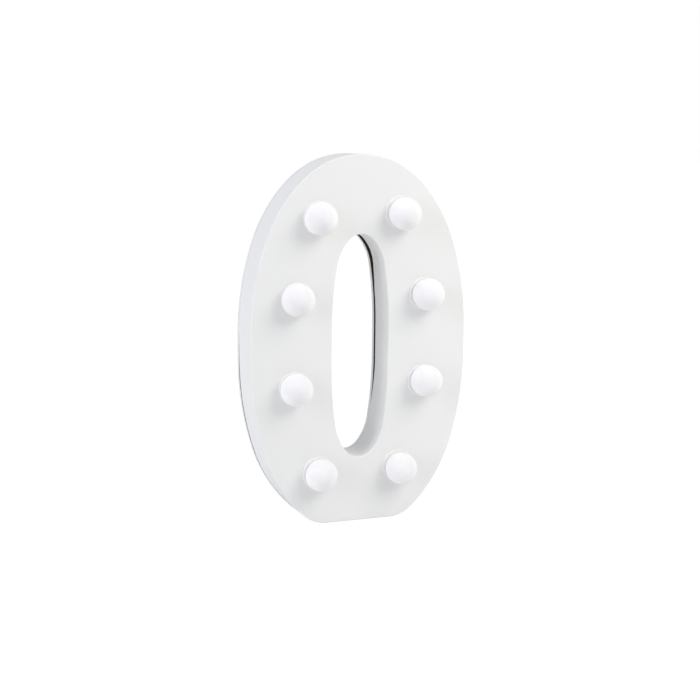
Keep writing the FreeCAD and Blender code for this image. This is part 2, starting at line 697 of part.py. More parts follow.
BAY_X = STROKE_X
BAY_Z = WAIST
BAY_HALF_X = length(cell_radius=2, cell_gap=0.5, cell_play=1)
BAY_HALF_Z = length(cell_length=0.5, spring_length=0.5, plate_thick=1)
BAY_LOW = plus(BAY_Z, minus(BAY_HALF_Z))
BAY_HIGH = plus(BAY_Z, BAY_HALF_Z)
DOOR_INNER = plus(BACK, length(door_thick=-1))
DOOR_LEDGE = plus(DOOR_INNER, length(door_seat=-1))
CELL_Y = plus(DOOR_INNER, length(cell_play=-1, cell_radius=-1))
BAY_FLOOR = plus(CELL_Y, length(cell_radius=-1, cell_play=-1))
BAY_FRONT = plus(BAY_FLOOR, length(bay_floor=-1))
OPEN_HALF_X = plus(BAY_HALF_X, length(door_ledge=1))
OPEN_LOW = plus(BAY_LOW, length(door_ledge=-1))
OPEN_HIGH = plus(BAY_HIGH, length(door_ledge=1))
CELL_STEP = length(cell_radius=1, cell_gap=0.5)
LEFT_CELL_X = plus(BAY_X, minus(CELL_STEP))
RIGHT_CELL_X = plus(BAY_X, CELL_STEP)
LUG_TOP = plus(SKIN, length(door_play=-1))
LUG_BOTTOM = plus(LUG_TOP, length(lug_thick=-1))
LUG_SWEEP = plus(BACK, length(skin=-1, door_play=-1, lug_thick=-1, lug_play=-1, lug_reach=-0.35))
LUG_PLACES = (plus(BAY_X, length(lug_offset=-1)), plus(BAY_X, length(lug_offset=1)))


# Switch: shared places.

SWITCH_Z = plus(BAY_HIGH, length(switch_rise=1))
WELL_FLOOR = plus(BACK, length(well_depth=-1))
WELL_REAR = plus(WELL_FLOOR, length(well_floor=-1))
WELL_X = plus(STROKE_X, length(switch_in=-1))
SWITCH_X = plus(WELL_X, length(knob_travel=-0.5))
EAR_FRONT = plus(WELL_REAR, length(ear_thick=-1))
SWITCH_FRONT = plus(EAR_FRONT, length(switch_deep=-1))
EAR_PLACES = ((plus(WELL_X, length(ear_hole_x=-1)), SWITCH_Z), (plus(WELL_X, length(ear_hole_x=1)), SWITCH_Z))

POST_PLACES = [(length(), length(foot_post_up=1))]
for side in (-1, 1):
    POST_PLACES += [
        (length(crown_post_out=side), length(letter_height=1, crown_post_down=-1)),
        (length(half_width=side, shoulder_post_in=-side), plus(SWITCH_Z, length(shoulder_post_rise=1))),
        (length(half_width=side, hip_post_in=-side), length(hip_post_up=1)),
    ]


def make_back_cover():
    body = new_body("back_cover")
    none = length()
    rim = length(rim_thick=1)
    pad_to(body, "skin", SKIN, BACK, both_loops(none, none))
    pad_to(body, "outer_rim", RIM, BACK, letter_ring(none, rim))
    base = pad_to(body, "counter_rim", RIM, BACK, counter_ring(none, rim))
    round_edges(body, "back_edges", base, edges_in_plane(base.Shape, BACK[0]), length(edge_round=1))
    lip_outer = length(wall=1, lip_play=1)
    lip_front = plus(RIM, length(lip_reach=-1))
    pad_to(body, "lip", lip_front, SKIN, letter_ring(lip_outer, plus(lip_outer, length(lip_thick=1))))
    pocket_to(body, "lip_gaps", lip_front, RIM,
              lambda sketch: rectangle(sketch, length(half_width=-1.2), length(half_width=1.2),
                                       length(lip_foot=1), length(letter_height=1, lip_crown=-1)))
    pad_to(body, "bosses", POST_TOP, SKIN, circles_at(POST_PLACES, length(boss_radius=1)))
    pocket_to(body, "counterbores", HEAD_SEAT, BACK,
              circles_at(POST_PLACES, length(head_radius=1, head_play=1)))
    pocket_to(body, "screw_holes", POST_TOP, HEAD_SEAT, circles_at(POST_PLACES, SHANK_HOLE))

    bay_wall = length(bay_wall=1)
    pad_to(body, "bay", BAY_FRONT, SKIN,
           lambda sketch: centred_rectangle(sketch, BAY_X, BAY_Z, plus(BAY_HALF_X, bay_wall),
                                            plus(BAY_HALF_Z, bay_wall)))
    pocket_to(body, "bay_room", BAY_FLOOR, BACK,
              lambda sketch: centred_rectangle(sketch, BAY_X, BAY_Z, BAY_HALF_X, BAY_HALF_Z))
    notch_half = length(latch_width=0.5, door_play=1)
    notch_top = plus(OPEN_HIGH, length(latch_reach=1, door_play=1))

    def door_opening(sketch):
        left, right = plus(BAY_X, minus(OPEN_HALF_X)), plus(BAY_X, OPEN_HALF_X)
        polygon(sketch, ((left, OPEN_LOW), (right, OPEN_LOW), (right, OPEN_HIGH),
                         (plus(BAY_X, notch_half), OPEN_HIGH), (plus(BAY_X, notch_half), notch_top),
                         (plus(BAY_X, minus(notch_half)), notch_top),
                         (plus(BAY_X, minus(notch_half)), OPEN_HIGH), (left, OPEN_HIGH)))

    pocket_to(body, "door_recess", DOOR_LEDGE, BACK, door_opening)

    def lug_slots(low):
        def draw(sketch):
            for x_value in LUG_PLACES:
                rectangle(sketch, plus(x_value, length(lug_width=-0.5, lug_play=-1)),
                          plus(x_value, length(lug_width=0.5, lug_play=1)),
                          low, plus(BAY_LOW, length(lug_play=1)))
        return draw

    pocket_to(body, "lug_slots", LUG_SWEEP, SKIN, lug_slots(plus(BAY_LOW, minus(bay_wall))))
    pocket_to(body, "lug_notches", SKIN, DOOR_LEDGE, lug_slots(OPEN_LOW))

    def tab_slots(sketch):
        for x_value in (LEFT_CELL_X, RIGHT_CELL_X):
            rectangle(sketch, plus(x_value, length(tab_width=-0.5, tab_play=-1)),
                      plus(x_value, length(tab_width=0.5, tab_play=1)), BAY_HIGH, plus(BAY_HIGH, bay_wall))

    pocket_to(body, "tab_slots", plus(CELL_Y, length(plate_thick=-0.5, tab_play=-1)),
              plus(CELL_Y, length(plate_thick=0.5, tab_play=1)), tab_slots)

    pad_to(body, "well_block", WELL_REAR, SKIN,
           lambda sketch: centred_rectangle(sketch, WELL_X, SWITCH_Z, length(well_half_x=1, well_rim=1),
                                            length(well_half_z=1, skin=1)))
    pocket_to(body, "finger_well", WELL_FLOOR, BACK,
              lambda sketch: centred_rectangle(sketch, WELL_X, SWITCH_Z, length(well_half_x=1),
                                               length(well_half_z=1)))
    pocket_to(body, "knob_slot", WELL_REAR, WELL_FLOOR,
              lambda sketch: centred_rectangle(sketch, WELL_X, SWITCH_Z,
                                               length(knob_half_x=1, knob_travel=0.5, knob_play=1),
                                               length(knob_half_z=1, knob_play=1)))
    pocket_to(body, "ear_screw_holes", WELL_REAR, plus(WELL_REAR, length(ear_screw_length=1)),
              circles_at(EAR_PLACES, length(ear_screw_radius=1, shank_play=1)))

    key_z = length(letter_height=1, key_down=-1)

    def keyhole(sketch):
        neck, radius = size["key_neck"], size["key_radius"]
        middle, top = key_z[0], key_z[0] + size["key_rise"]
        low = middle + math.sqrt(radius ** 2 - neck ** 2)
        entry = sketch.addGeometry(arc_points((0, middle), radius, (-neck, low), (neck, low)))
        right = sketch.addGeometry(Part.LineSegment(FreeCAD.Vector(neck, low, 0),
                                                    FreeCAD.Vector(neck, top, 0)))
        end = sketch.addGeometry(arc_points((0, top), neck, (neck, top), (-neck, top)))
        left = sketch.addGeometry(Part.LineSegment(FreeCAD.Vector(-neck, top, 0),
                                                   FreeCAD.Vector(-neck, low, 0)))
        hold(sketch, "Coincident", entry, END, right, START)
        hold(sketch, "Tangent", right, END, end, START)
        hold(sketch, "Tangent", end, END, left, START)
        hold(sketch, "Coincident", left, END, entry, START)
        hold(sketch, "Vertical", right)
        place_point(sketch, entry, CENTRE, length(), key_z)
        place_point(sketch, end, CENTRE, length(), plus(key_z, length(key_rise=1)))
        measure(sketch, "Radius", (entry,), length(key_radius=1))
        measure(sketch, "Radius", (end,), length(key_neck=1))

    pocket_to(body, "keyhole", SKIN, BACK, keyhole)
    return body


def make_battery_door():
    body = new_body("battery_door")
    play = length(door_play=1)
    left = plus(BAY_X, minus(OPEN_HALF_X), play)
    right = plus(BAY_X, OPEN_HALF_X, minus(play))
    low = plus(OPEN_LOW, play)
    high = plus(OPEN_HIGH, minus(play))
    tab_half = length(latch_width=0.5)
    tab_left, tab_right = plus(BAY_X, minus(tab_half)), plus(BAY_X, tab_half)
    slot_left = plus(tab_left, length(latch_slot=-1))
    slot_right = plus(tab_right, length(latch_slot=1))
    slot_low = plus(high, length(latch_height=-1))
    nose = plus(high, length(latch_reach=1))

    def outline(sketch):
        polygon(sketch, ((left, low), (right, low), (right, high), (slot_right, high), (slot_right, slot_low),
                         (tab_right, slot_low), (tab_right, nose), (tab_left, nose), (tab_left, slot_low),
                         (slot_left, slot_low), (slot_left, high), (left, high)))

    plate = pad_to(body, "plate", DOOR_INNER, BACK, outline)
    corners = []
    for i, edge in enumerate(plate.Shape.Edges, start=1):
        box = edge.BoundBox
        upright = box.YLength > 0.5 * size["door_thick"]
        at_side = min(abs(box.XMin - left[0]), abs(box.XMin - right[0])) < 1e-4
        if upright and at_side:
            corners.append("Edge%d" % i)
    round_edges(body, "corners", plate, corners, length(door_corner=1))

    def blocks(sketch):
        for x_value in LUG_PLACES:
            rectangle(sketch, plus(x_value, length(lug_width=-0.5)), plus(x_value, length(lug_width=0.5)),
                      low, plus(low, length(lug_block=1)))

    def lugs(sketch):
        for x_value in LUG_PLACES:
            rectangle(sketch, plus(x_value, length(lug_width=-0.5)), plus(x_value, length(lug_width=0.5)),
                      plus(OPEN_LOW, length(lug_reach=-1)), plus(low, length(lug_block=1)))

    pad_to(body, "lug_blocks", LUG_BOTTOM, DOOR_INNER, blocks)
    pad_to(body, "lugs", LUG_BOTTOM, LUG_TOP, lugs)

    sketch = sketch_on(body, "grip_sketch", "YZ_Plane", plus(tab_left, length(latch_slot=1)))
    for step in (1, 2, 3):
        circle(sketch, plus(BACK, length(grip_radius=-1)),
               plus(slot_low, length(latch_slot=1, grip_pitch=step)), length(grip_radius=0.9))
    sketch_pocket = body.newObject("PartDesign::Pocket", "grip_grooves")
    sketch_pocket.Profile = sketch
    sketch_pocket.Reversed = True
    bind(sketch_pocket, "Length", length(latch_width=1, latch_slot=-2))
    settle(body, sketch_pocket, grows=False)
    return body


# Bulbs: socket, globe and LED.

def put(target, x_value, y_value, z_value):
    bind(target, ".Placement.Base.x", x_value)
    bind(target, ".Placement.Base.y", y_value)
    bind(target, ".Placement.Base.z", z_value)


BORE = length(neck_radius=1, neck_play=1)


def make_socket(number):
    """A flanged bush, pushed into the face from the front. Depths count from the face."""
    body = new_body("bulb_socket_%d" % number)
    barb_start = length(face_thick=1, barb_play=1)
    barb_end = plus(barb_start, length(barb_width=1))
    rear = length(barrel_depth=1)
    floor = plus(rear, length(socket_floor=-1))
    led_bore = length(led_radius=1, led_play=1)
    led_seat = length(led_flange_radius=1, led_play=1)
    seat_depth = plus(rear, length(led_flange_thick=-1, led_play=-1))
    barrel = length(barrel_radius=1)
    barb = length(barrel_radius=1, barb_reach=1)
    flange_front = length(flange_thick=-1)
    corners = (
        (BORE, flange_front), (length(flange_radius=1), flange_front), (length(flange_radius=1), length()),
        (barrel, length()), (barrel, barb_start), (barb, barb_start), (barrel, barb_end), (barrel, rear),
        (led_seat, rear), (led_seat, seat_depth), (led_bore, seat_depth), (led_bore, floor), (BORE, floor),
    )
    turned = revolve(body, "bush", corners)
    edges = []
    for i, edge in enumerate(turned.Shape.Edges, start=1):
        box = edge.BoundBox
        if abs(box.YMax - flange_front[0]) < 1e-4 and box.XLength > 2 * size["flange_radius"] - 1e-3:
            edges.append("Edge%d" % i)
    round_edges(body, "ring_edge", turned, edges, length(flange_round=1))
    x_value, z_value = SOCKET_PLACES[number]
    put(body, x_value, FRONT, z_value)
    return body


def make_globe(number):
    """A hollow blown globe with an open neck. Depths count from the face."""
    body = new_body("bulb_globe_%d" % number)
    centre = length(globe_stand=-1)
    under = length(flange_thick=-1, globe_seat=-1)
    inside = plus(under, length(globe_wall=-1))
    outer = length(globe_radius=1)
    inner = length(globe_radius=1, globe_wall=-1)
    neck = length(neck_radius=1)
    neck_inner = length(neck_radius=1, globe_wall=-1)
    neck_end = length(barrel_depth=1, socket_floor=-1, neck_end_play=-1)
    under_x = math.sqrt(outer[0] ** 2 - (under[0] - centre[0]) ** 2)
    inside_x = math.sqrt(inner[0] ** 2 - (inside[0] - centre[0]) ** 2)
    corners = (
        (neck_inner, neck_end), (neck, neck_end), (neck, under), ((under_x, None), under),
        (length(), plus(centre, minus(outer))), (length(), plus(centre, minus(inner))),
        ((inside_x, None), inside), (neck_inner, inside),
    )
    revolve(body, "blown_shape", corners, bows=((3, centre, outer), (5, centre, inner)))
    x_value, z_value = SOCKET_PLACES[number]
    lean_x = length(**{"lean_%d_x" % number: 1})
    lean_z = length(**{"lean_%d_z" % number: 1})
    put(body, plus(x_value, lean_x), FRONT, plus(z_value, lean_z))
    return body


def make_led(number):
    """A 5 mm LED, its base ring in the rear of the socket. Depths count from the face."""
    body = new_body("led_%d" % number)
    rear = length(barrel_depth=1, led_play=-0.5)
    ring = plus(rear, length(led_flange_thick=-1))
    dome_centre = plus(rear, length(led_length=-1, led_radius=1))
    tip = plus(rear, length(led_length=-1))
    corners = (
        (length(), rear), (length(led_flange_radius=1), rear), (length(led_flange_radius=1), ring),
        (length(led_radius=1), ring), (length(led_radius=1), dome_centre), (length(), tip),
    )
    revolve(body, "lens", corners, bows=((4, dome_centre, length(led_radius=1)),))
    sketch = sketch_at_depth(body, "legs_sketch", rear)
    half = length(leg_thick=0.5)
    for side in (-0.5, 0.5):
        centred_rectangle(sketch, length(leg_pitch=side), length(), half, half)
    pad(body, "legs", sketch, length(leg_length=1), to_back=True)
    x_value, z_value = SOCKET_PLACES[number]
    put(body, x_value, FRONT, z_value)
    return body


# Lamp chain: a red wire inside the row of LEDs and a black one outside it, foot to foot over the
# crown. Two leads and the resistor join them to the battery bay and the switch.

CHAIN = (7, 5, 3, 1, 2, 4, 6, 8)
CROWN_LEDS = (1, 2)
WIRE_REACH = length(leg_pitch=0.5, leg_thick=0.5, wire_play=1, wire_radius=1)
WIRE_Y = plus(FRONT, length(barrel_depth=1, led_play=-0.5, leg_length=1, wire_radius=-1))


def wire_corner(number, outward):
    """Where a wire of the chain passes an LED: beside its legs, away from the centre line or not."""
    x_value, z_value = SOCKET_PLACES[number]
    away = outward if x_value[0] > 0 else -outward
    x_value = plus(x_value, WIRE_REACH if away > 0 else minus(WIRE_REACH))
    if number in CROWN_LEDS:
        over = plus(WIRE_REACH, length(wire_rise=1))
        z_value = plus(z_value, over if outward > 0 else minus(WIRE_REACH))
    return x_value, z_value


def turn_at(spots, i):
    before = (spots[i] - spots[i - 1]).normalize()
    after = (spots[i + 1] - spots[i]).normalize()
    return before, after, before.cross(after).z < 0


def make_wire(name, corners, depth, bend):
    """An insulated wire: straight runs from corner to corner, joined by tangent bends."""
    body = new_body(name)
    path = sketch_at_depth(body, name + "_path", depth)
    spots = [FreeCAD.Vector(x_value[0], z_value[0], 0) for x_value, z_value in corners]
    inner = range(1, len(spots) - 1)
    trims = [0.0] * len(spots)
    for i in inner:
        before, after, _ = turn_at(spots, i)
        trims[i] = bend[0] * math.tan(before.getAngle(after) / 2)
    runs = []
    for i in range(len(spots) - 1):
        along = (spots[i + 1] - spots[i]).normalize()
        run = Part.LineSegment(spots[i] + along * trims[i], spots[i + 1] - along * trims[i + 1])
        runs.append(path.addGeometry(run))
    for i in inner:
        before, _, clockwise = turn_at(spots, i)
        entering = path.Geometry[runs[i - 1]].EndPoint
        leaving = path.Geometry[runs[i]].StartPoint
        across = FreeCAD.Vector(-before.y, before.x, 0)
        centre = entering + across * (-bend[0] if clockwise else bend[0])
        first, last = (leaving, entering) if clockwise else (entering, leaving)
        arc = path.addGeometry(arc_points(centre, bend[0], first, last))
        hold(path, "Tangent", runs[i - 1], END, arc, END if clockwise else START)
        hold(path, "Tangent", arc, START if clockwise else END, runs[i], START)
        measure(path, "Radius", (arc,), bend)
        corner = path.addGeometry(Part.Point(spots[i]), True)
        place_point(path, corner, START, *corners[i])
        hold(path, "PointOnObject", corner, START, runs[i - 1])
        hold(path, "PointOnObject", corner, START, runs[i])
    place_point(path, runs[0], START, *corners[0])
    place_point(path, runs[-1], END, *corners[-1])
    document.recompute()
    section = body.newObject("Sketcher::SketchObject", name + "_section")
    section.AttachmentSupport = [(path, "Edge1")]
    section.MapMode = "NormalToEdge"
    circle(section, length(), length(), length(wire_radius=1))
    document.recompute()
    feature = body.newObject("PartDesign::AdditivePipe", "run")
    feature.Profile = section
    feature.Spine = path
    settle(body, feature, grows=True)
    route = sum(edge.Length for edge in path.Shape.Edges)
    share = feature.Shape.Volume / (math.pi * size["wire_radius"] ** 2 * route)
    print("%s: %.1f mm long, volume over section times length %.4f" % (name, route, share))
    return body


def make_chain_wire(name, outward):
    return make_wire(name, [wire_corner(number, outward) for number in CHAIN], WIRE_Y, length(wire_bend=1))


def chain_x(outward, height):
    """X of a chain wire at a height between the second row and the crown, on the right."""
    low_x, low_z = wire_corner(4, outward)
    high_x, high_z = wire_corner(2, outward)
    share = (height[0] - low_z[0]) / (high_z[0] - low_z[0])
    text = "(%s) + ((%s) - (%s)) * ((%s) - (%s)) / ((%s) - (%s))" % (
        low_x[1], high_x[1], low_x[1], height[1], low_z[1], high_z[1], low_z[1])
    return low_x[0] + (high_x[0] - low_x[0]) * share, text


def aim(item, across, back):
    """Turn an object about the vertical, so that its X points along a horizontal direction."""
    item.setExpression(".Placement.Rotation.Angle", "atan2(%s; %s)" % (back[1], across[1]))


def span(across, back):
    return math.hypot(across[0], back[0]), "hypot(%s; %s)" % (across[1], back[1])


TAB_END = plus(BAY_HIGH, length(tab_reach=1, lead_end_play=1))
LEAD_TURN = plus(TAB_END, length(lead_rise=1))
PIN_SIDE = plus(SWITCH_Z, length(pin_thick=-0.5, lead_end_play=-1))
PIN_END = plus(SWITCH_FRONT, length(pin_length=-1))
BEHIND_CHAIN = plus(WIRE_Y, length(wire_radius=2, wire_play=1))


def make_red_lead():
    """From the positive contact's tab up to the switch's first pin."""
    pin_x = plus(WELL_X, length(pin_pitch=-1))
    corners = ((LEFT_CELL_X, TAB_END), (LEFT_CELL_X, plus(TAB_END, length(lead_rise=0.8))),
               (pin_x, plus(PIN_SIDE, length(lead_rise=-0.8))), (pin_x, PIN_SIDE))
    return make_wire("red_lead", corners, CELL_Y, length(lead_bend=1))


def make_black_lead():
    """From the negative contact's tab up, and forward to the back of the black chain wire."""
    across = plus(chain_x(1, LEAD_TURN), minus(RIGHT_CELL_X))
    back = plus(BEHIND_CHAIN, minus(CELL_Y))
    corners = ((length(), TAB_END), (length(), LEAD_TURN), (span(across, back), LEAD_TURN))
    body = make_wire("black_lead", corners, length(), length(lead_bend=1))
    put(body, RIGHT_CELL_X, CELL_Y, length())
    aim(body, across, back)
    return body


# Cells, contacts and springs.

def add_part(kind, name, **values):
    item = document.addObject(kind, name)
    for prop, value in values.items():
        bind(item, prop, value)
    return item


def cylinder(name, radius, height, x_value, y_value, z_value, axis=(0, 0, 1)):
    item = add_part("Part::Cylinder", name, Radius=radius, Height=height)
    item.Placement = FreeCAD.Placement(
        FreeCAD.Vector(), FreeCAD.Rotation(FreeCAD.Vector(0, 0, 1), FreeCAD.Vector(*axis)))
    put(item, x_value, y_value, z_value)
    return item


def block(name, left, right, front, rear, low, high):
    item = add_part("Part::Box", name, Length=plus(right, minus(left)),
                    Width=plus(rear, minus(front)), Height=plus(high, minus(low)))
    put(item, left, front, low)
    return item


def fuse(name, *items):
    joined = document.addObject("Part::MultiFuse", name)
    joined.Shapes = list(items)
    joined.Refine = True
    joined.Label = name
    return joined


CONTACT_LOW = plus(BAY_LOW, length(plate_thick=1, plate_play=1))
CONTACT_HIGH = plus(BAY_HIGH, length(plate_thick=-1, plate_play=-1))


def make_cell(name, x_value, nub_up):
    body_length = length(cell_length=1, nub_length=-1)
    if nub_up:
        low = plus(CONTACT_HIGH, length(cell_length=-1))
        nub_low = plus(low, body_length)
    else:
        nub_low = CONTACT_LOW
        low = plus(nub_low, length(nub_length=1))
    can = cylinder(name + "_can", length(cell_radius=1), body_length, x_value, CELL_Y, low)
    nub = cylinder(name + "_nub", length(nub_radius=1), length(nub_length=1), x_value, CELL_Y, nub_low)
    return fuse(name, can, nub)


def plate_block(name, left, right, high_end):
    low = plus(BAY_HIGH, length(plate_thick=-1)) if high_end else BAY_LOW
    top = BAY_HIGH if high_end else plus(BAY_LOW, length(plate_thick=1))
    half = length(plate_half=1)
    return block(name, left, right, plus(CELL_Y, minus(half)), plus(CELL_Y, half), low, top)


def make_terminal(name, x_value):
    """A contact plate at the head of the bay, with a solder tab through the end wall."""
    half = length(plate_half=1)
    plate = plate_block(name + "_plate", plus(x_value, minus(half)), plus(x_value, half), True)
    tab_half = length(tab_width=0.5)
    tab = block(name + "_tab", plus(x_value, minus(tab_half)), plus(x_value, tab_half),
                plus(CELL_Y, length(plate_thick=-0.5)), plus(CELL_Y, length(plate_thick=0.5)),
                plus(BAY_HIGH, length(plate_thick=-0.5)), plus(BAY_HIGH, length(tab_reach=1)))
    return fuse(name, plate, tab)


def make_bridge():
    """The plate at the foot of the bay, which joins one cell to the other."""
    half = length(plate_half=1)
    plate = plate_block("bridge_contact", plus(LEFT_CELL_X, minus(half)), plus(RIGHT_CELL_X, half), False)
    plate.Label = "bridge_contact"
    return plate


def bow(start, tangent_end, stop):
    """The arc from start to stop whose two tangents meet at tangent_end, equally far from both."""
    middle = (start + stop) * 0.5
    rise = tangent_end - middle
    leg = (tangent_end - start).Length
    half_chord = (stop - start).Length / 2
    half_turn = math.acos(half_chord / leg) / 2
    return Part.Arc(start, middle + rise.normalize() * (half_chord * math.tan(half_turn)), stop).toShape()


def biarc(start, start_way, stop, stop_way):
    """Two arcs that leave start and reach stop along the two given directions."""
    gap = stop - start
    ways = start_way + stop_way
    square = ways.dot(ways) - 4
    linear = -2 * gap.dot(ways)
    leg = (-linear - math.sqrt(linear ** 2 - 4 * square * gap.dot(gap))) / (2 * square)
    first, last = start + start_way * leg, stop - stop_way * leg
    joint = (first + last) * 0.5
    return [bow(start, first, joint), bow(joint, last, stop)]


def make_spring(name, x_value, plate_z, cell_z):
    """A conical contact spring, wound in half turns from its plate to its cell."""
    wire = size["coil_wire"]
    sense = 1 if cell_z[0] > plate_z[0] else -1
    seat = wire + size["plate_play"]
    low = plate_z[0] + sense * seat
    rise = cell_z[0] - sense * seat - low
    turns = size["coil_turns"]
    halves = int(round(2 * turns))
    widening = size["coil_small"] - size["coil_big"]

    def spot(share):
        radius = size["coil_big"] + widening * share
        turned = 2 * math.pi * turns * share
        return FreeCAD.Vector(radius * math.cos(turned), radius * math.sin(turned), low + rise * share)

    def way(share):
        radius = size["coil_big"] + widening * share
        turned = 2 * math.pi * turns * share
        along = 2 * math.pi * turns * radius
        return FreeCAD.Vector(widening * math.cos(turned) - along * math.sin(turned),
                              widening * math.sin(turned) + along * math.cos(turned), rise).normalize()

    edges = []
    for i in range(halves):
        edges += biarc(spot(i / halves), way(i / halves), spot((i + 1) / halves), way((i + 1) / halves))
    ring = Part.Wire([Part.makeCircle(wire, spot(0), way(0))])
    coil = Part.Wire(edges).makePipeShell([ring], True, False)
    gap = math.hypot(rise, widening) / turns - 2 * wire
    share = coil.Volume / (math.pi * wire ** 2 * sum(edge.Length for edge in edges))
    print("%s: gap between turns %.2f mm, volume over section times length %.4f" % (name, gap, share))
    item = document.addObject("Part::Feature", name)
    item.Shape = coil
    item.Label = name
    item.Placement = FreeCAD.Placement(FreeCAD.Vector(x_value[0], CELL_Y[0], 0), FreeCAD.Rotation())
    return item


# Switch, resistor and screws.

def make_switch_body():
    body = new_body("switch_body")
    plate_half_x = length(ear_half_x=1)

    def ears(sketch):
        centred_rectangle(sketch, WELL_X, SWITCH_Z, plate_half_x, length(ear_half_z=1))

    pad_to(body, "ears", EAR_FRONT, WELL_REAR, ears)
    pad_to(body, "can", SWITCH_FRONT, EAR_FRONT,
           lambda sketch: centred_rectangle(sketch, WELL_X, SWITCH_Z, length(switch_half_x=1),
                                            length(switch_half_z=1)))
    pocket_to(body, "ear_holes", EAR_FRONT, WELL_REAR,
              circles_at(EAR_PLACES, length(ear_screw_radius=1, shank_play=1)))
    room_half_x = length(knob_half_x=1, knob_travel=0.5, knob_flange=1, knob_play=1)
    room_half_z = length(knob_half_z=1, knob_flange=1, knob_play=1)
    room_front = plus(EAR_FRONT, length(knob_foot=-1, knob_play=-2))
    pocket_to(body, "knob_room", room_front, EAR_FRONT,
              lambda sketch: centred_rectangle(sketch, WELL_X, SWITCH_Z, room_half_x, room_half_z))
    pocket_to(body, "knob_slot", EAR_FRONT, WELL_REAR,
              lambda sketch: centred_rectangle(sketch, WELL_X, SWITCH_Z,
                                               length(knob_half_x=1, knob_travel=0.5, knob_play=1),
                                               length(knob_half_z=1, knob_play=1)))

    def pins(sketch):
        half = length(pin_thick=0.5)
        for step in (-1, 0, 1):
            centred_rectangle(sketch, plus(WELL_X, length(pin_pitch=step)), SWITCH_Z, half, half)

    pad_to(body, "pins", plus(SWITCH_FRONT, length(pin_length=-1)), SWITCH_FRONT, pins)
    return body


def make_switch_knob():
    """The knob, at the off end of its travel."""
    body = new_body("switch_knob")
    knob_top = plus(BACK, length(knob_sink=-1))
    flange_rear = plus(EAR_FRONT, length(knob_play=-1))
    flange_front = plus(flange_rear, length(knob_foot=-1))
    pad_to(body, "flange", flange_front, flange_rear,
           lambda sketch: centred_rectangle(sketch, SWITCH_X, SWITCH_Z, length(knob_half_x=1, knob_flange=1),
                                            length(knob_half_z=1, knob_flange=1)))
    top = pad_to(body, "knob", flange_rear, knob_top,
                 lambda sketch: centred_rectangle(sketch, SWITCH_X, SWITCH_Z, length(knob_half_x=1),
                                                  length(knob_half_z=1)))
    round_edges(body, "knob_edges", top, edges_in_plane(top.Shape, knob_top[0]), length(knob_round=1))
    return body


def make_cover_screws():
    screws = []
    for number, (x_value, z_value) in enumerate(POST_PLACES, start=1):
        head = cylinder("cover_screw_head_%d" % number, length(head_radius=1), length(head_thick=1),
                        x_value, HEAD_SEAT, z_value, axis=(0, 1, 0))
        shank = cylinder("cover_screw_shank_%d" % number, length(shank_radius=1), length(shank_length=1),
                         x_value, plus(HEAD_SEAT, length(shank_length=-1)), z_value, axis=(0, 1, 0))
        drive = cross_drive(number, x_value, z_value)
        solid = document.addObject("Part::Cut", "cover_screw_%d" % number)
        solid.Base = fuse("cover_screw_blank_%d" % number, head, shank)
        solid.Tool = drive
        screws.append(solid)
    group = document.addObject("Part::Compound", "cover_screws")
    group.Links = screws
    group.Label = "cover_screws"
    return group


def cross_drive(number, x_value, z_value):
    """The cross in a screw's head, half the head deep."""
    arm = length(head_radius=0.62)
    half = length(head_radius=0.13)
    front = plus(HEAD_SEAT, length(head_thick=0.45))
    rear = plus(HEAD_SEAT, length(head_thick=1.2))
    flat = block("cross_flat_%d" % number, plus(x_value, minus(arm)), plus(x_value, arm), front, rear,
                 plus(z_value, minus(half)), plus(z_value, half))
    upright = block("cross_upright_%d" % number, plus(x_value, minus(half)), plus(x_value, half), front, rear,
                    plus(z_value, minus(arm)), plus(z_value, arm))
    return fuse("cross_%d" % number, flat, upright)


def make_switch_screws():
    screws = []
    for number, (x_value, z_value) in enumerate(EAR_PLACES, start=1):
        head = cylinder("switch_screw_head_%d" % number, length(ear_screw_head=1), length(ear_head_thick=1),
                        x_value, plus(EAR_FRONT, length(ear_head_thick=-1)), z_value, axis=(0, 1, 0))
        shank = cylinder("switch_screw_shank_%d" % number, length(ear_screw_radius=1),
                         length(ear_screw_length=1, ear_thick=1, shank_play=-1), x_value, EAR_FRONT, z_value,
                         axis=(0, 1, 0))
        screws.append(fuse("switch_screw_%d" % number, head, shank))
    group = document.addObject("Part::Compound", "switch_screws")
    group.Links = screws
    group.Label = "switch_screws"
    return group


def make_resistor():
    """From the switch's middle pin forward to the back of the red chain wire."""
    start_y = plus(PIN_END, length(lead_end_play=-1, lead_radius=-1))
    across = plus(chain_x(-1, SWITCH_Z), minus(WELL_X))
    back = plus(BEHIND_CHAIN, minus(start_y))
    reach = span(across, back)
    core_start = part_of(plus(reach, length(resistor_length=-1)), 0.5)
    core_stop = plus(core_start, length(resistor_length=1))
    lead = length(lead_radius=1)
    core = length(resistor_radius=1)
    body = new_body("resistor")
    revolve(body, "turned", ((length(), length()), (lead, length()), (lead, core_start), (core, core_start),
                             (core, core_stop), (lead, core_stop), (lead, reach), (length(), reach)))
    put(body, WELL_X, start_y, SWITCH_Z)
    aim(body, back, minus(across))
    return body


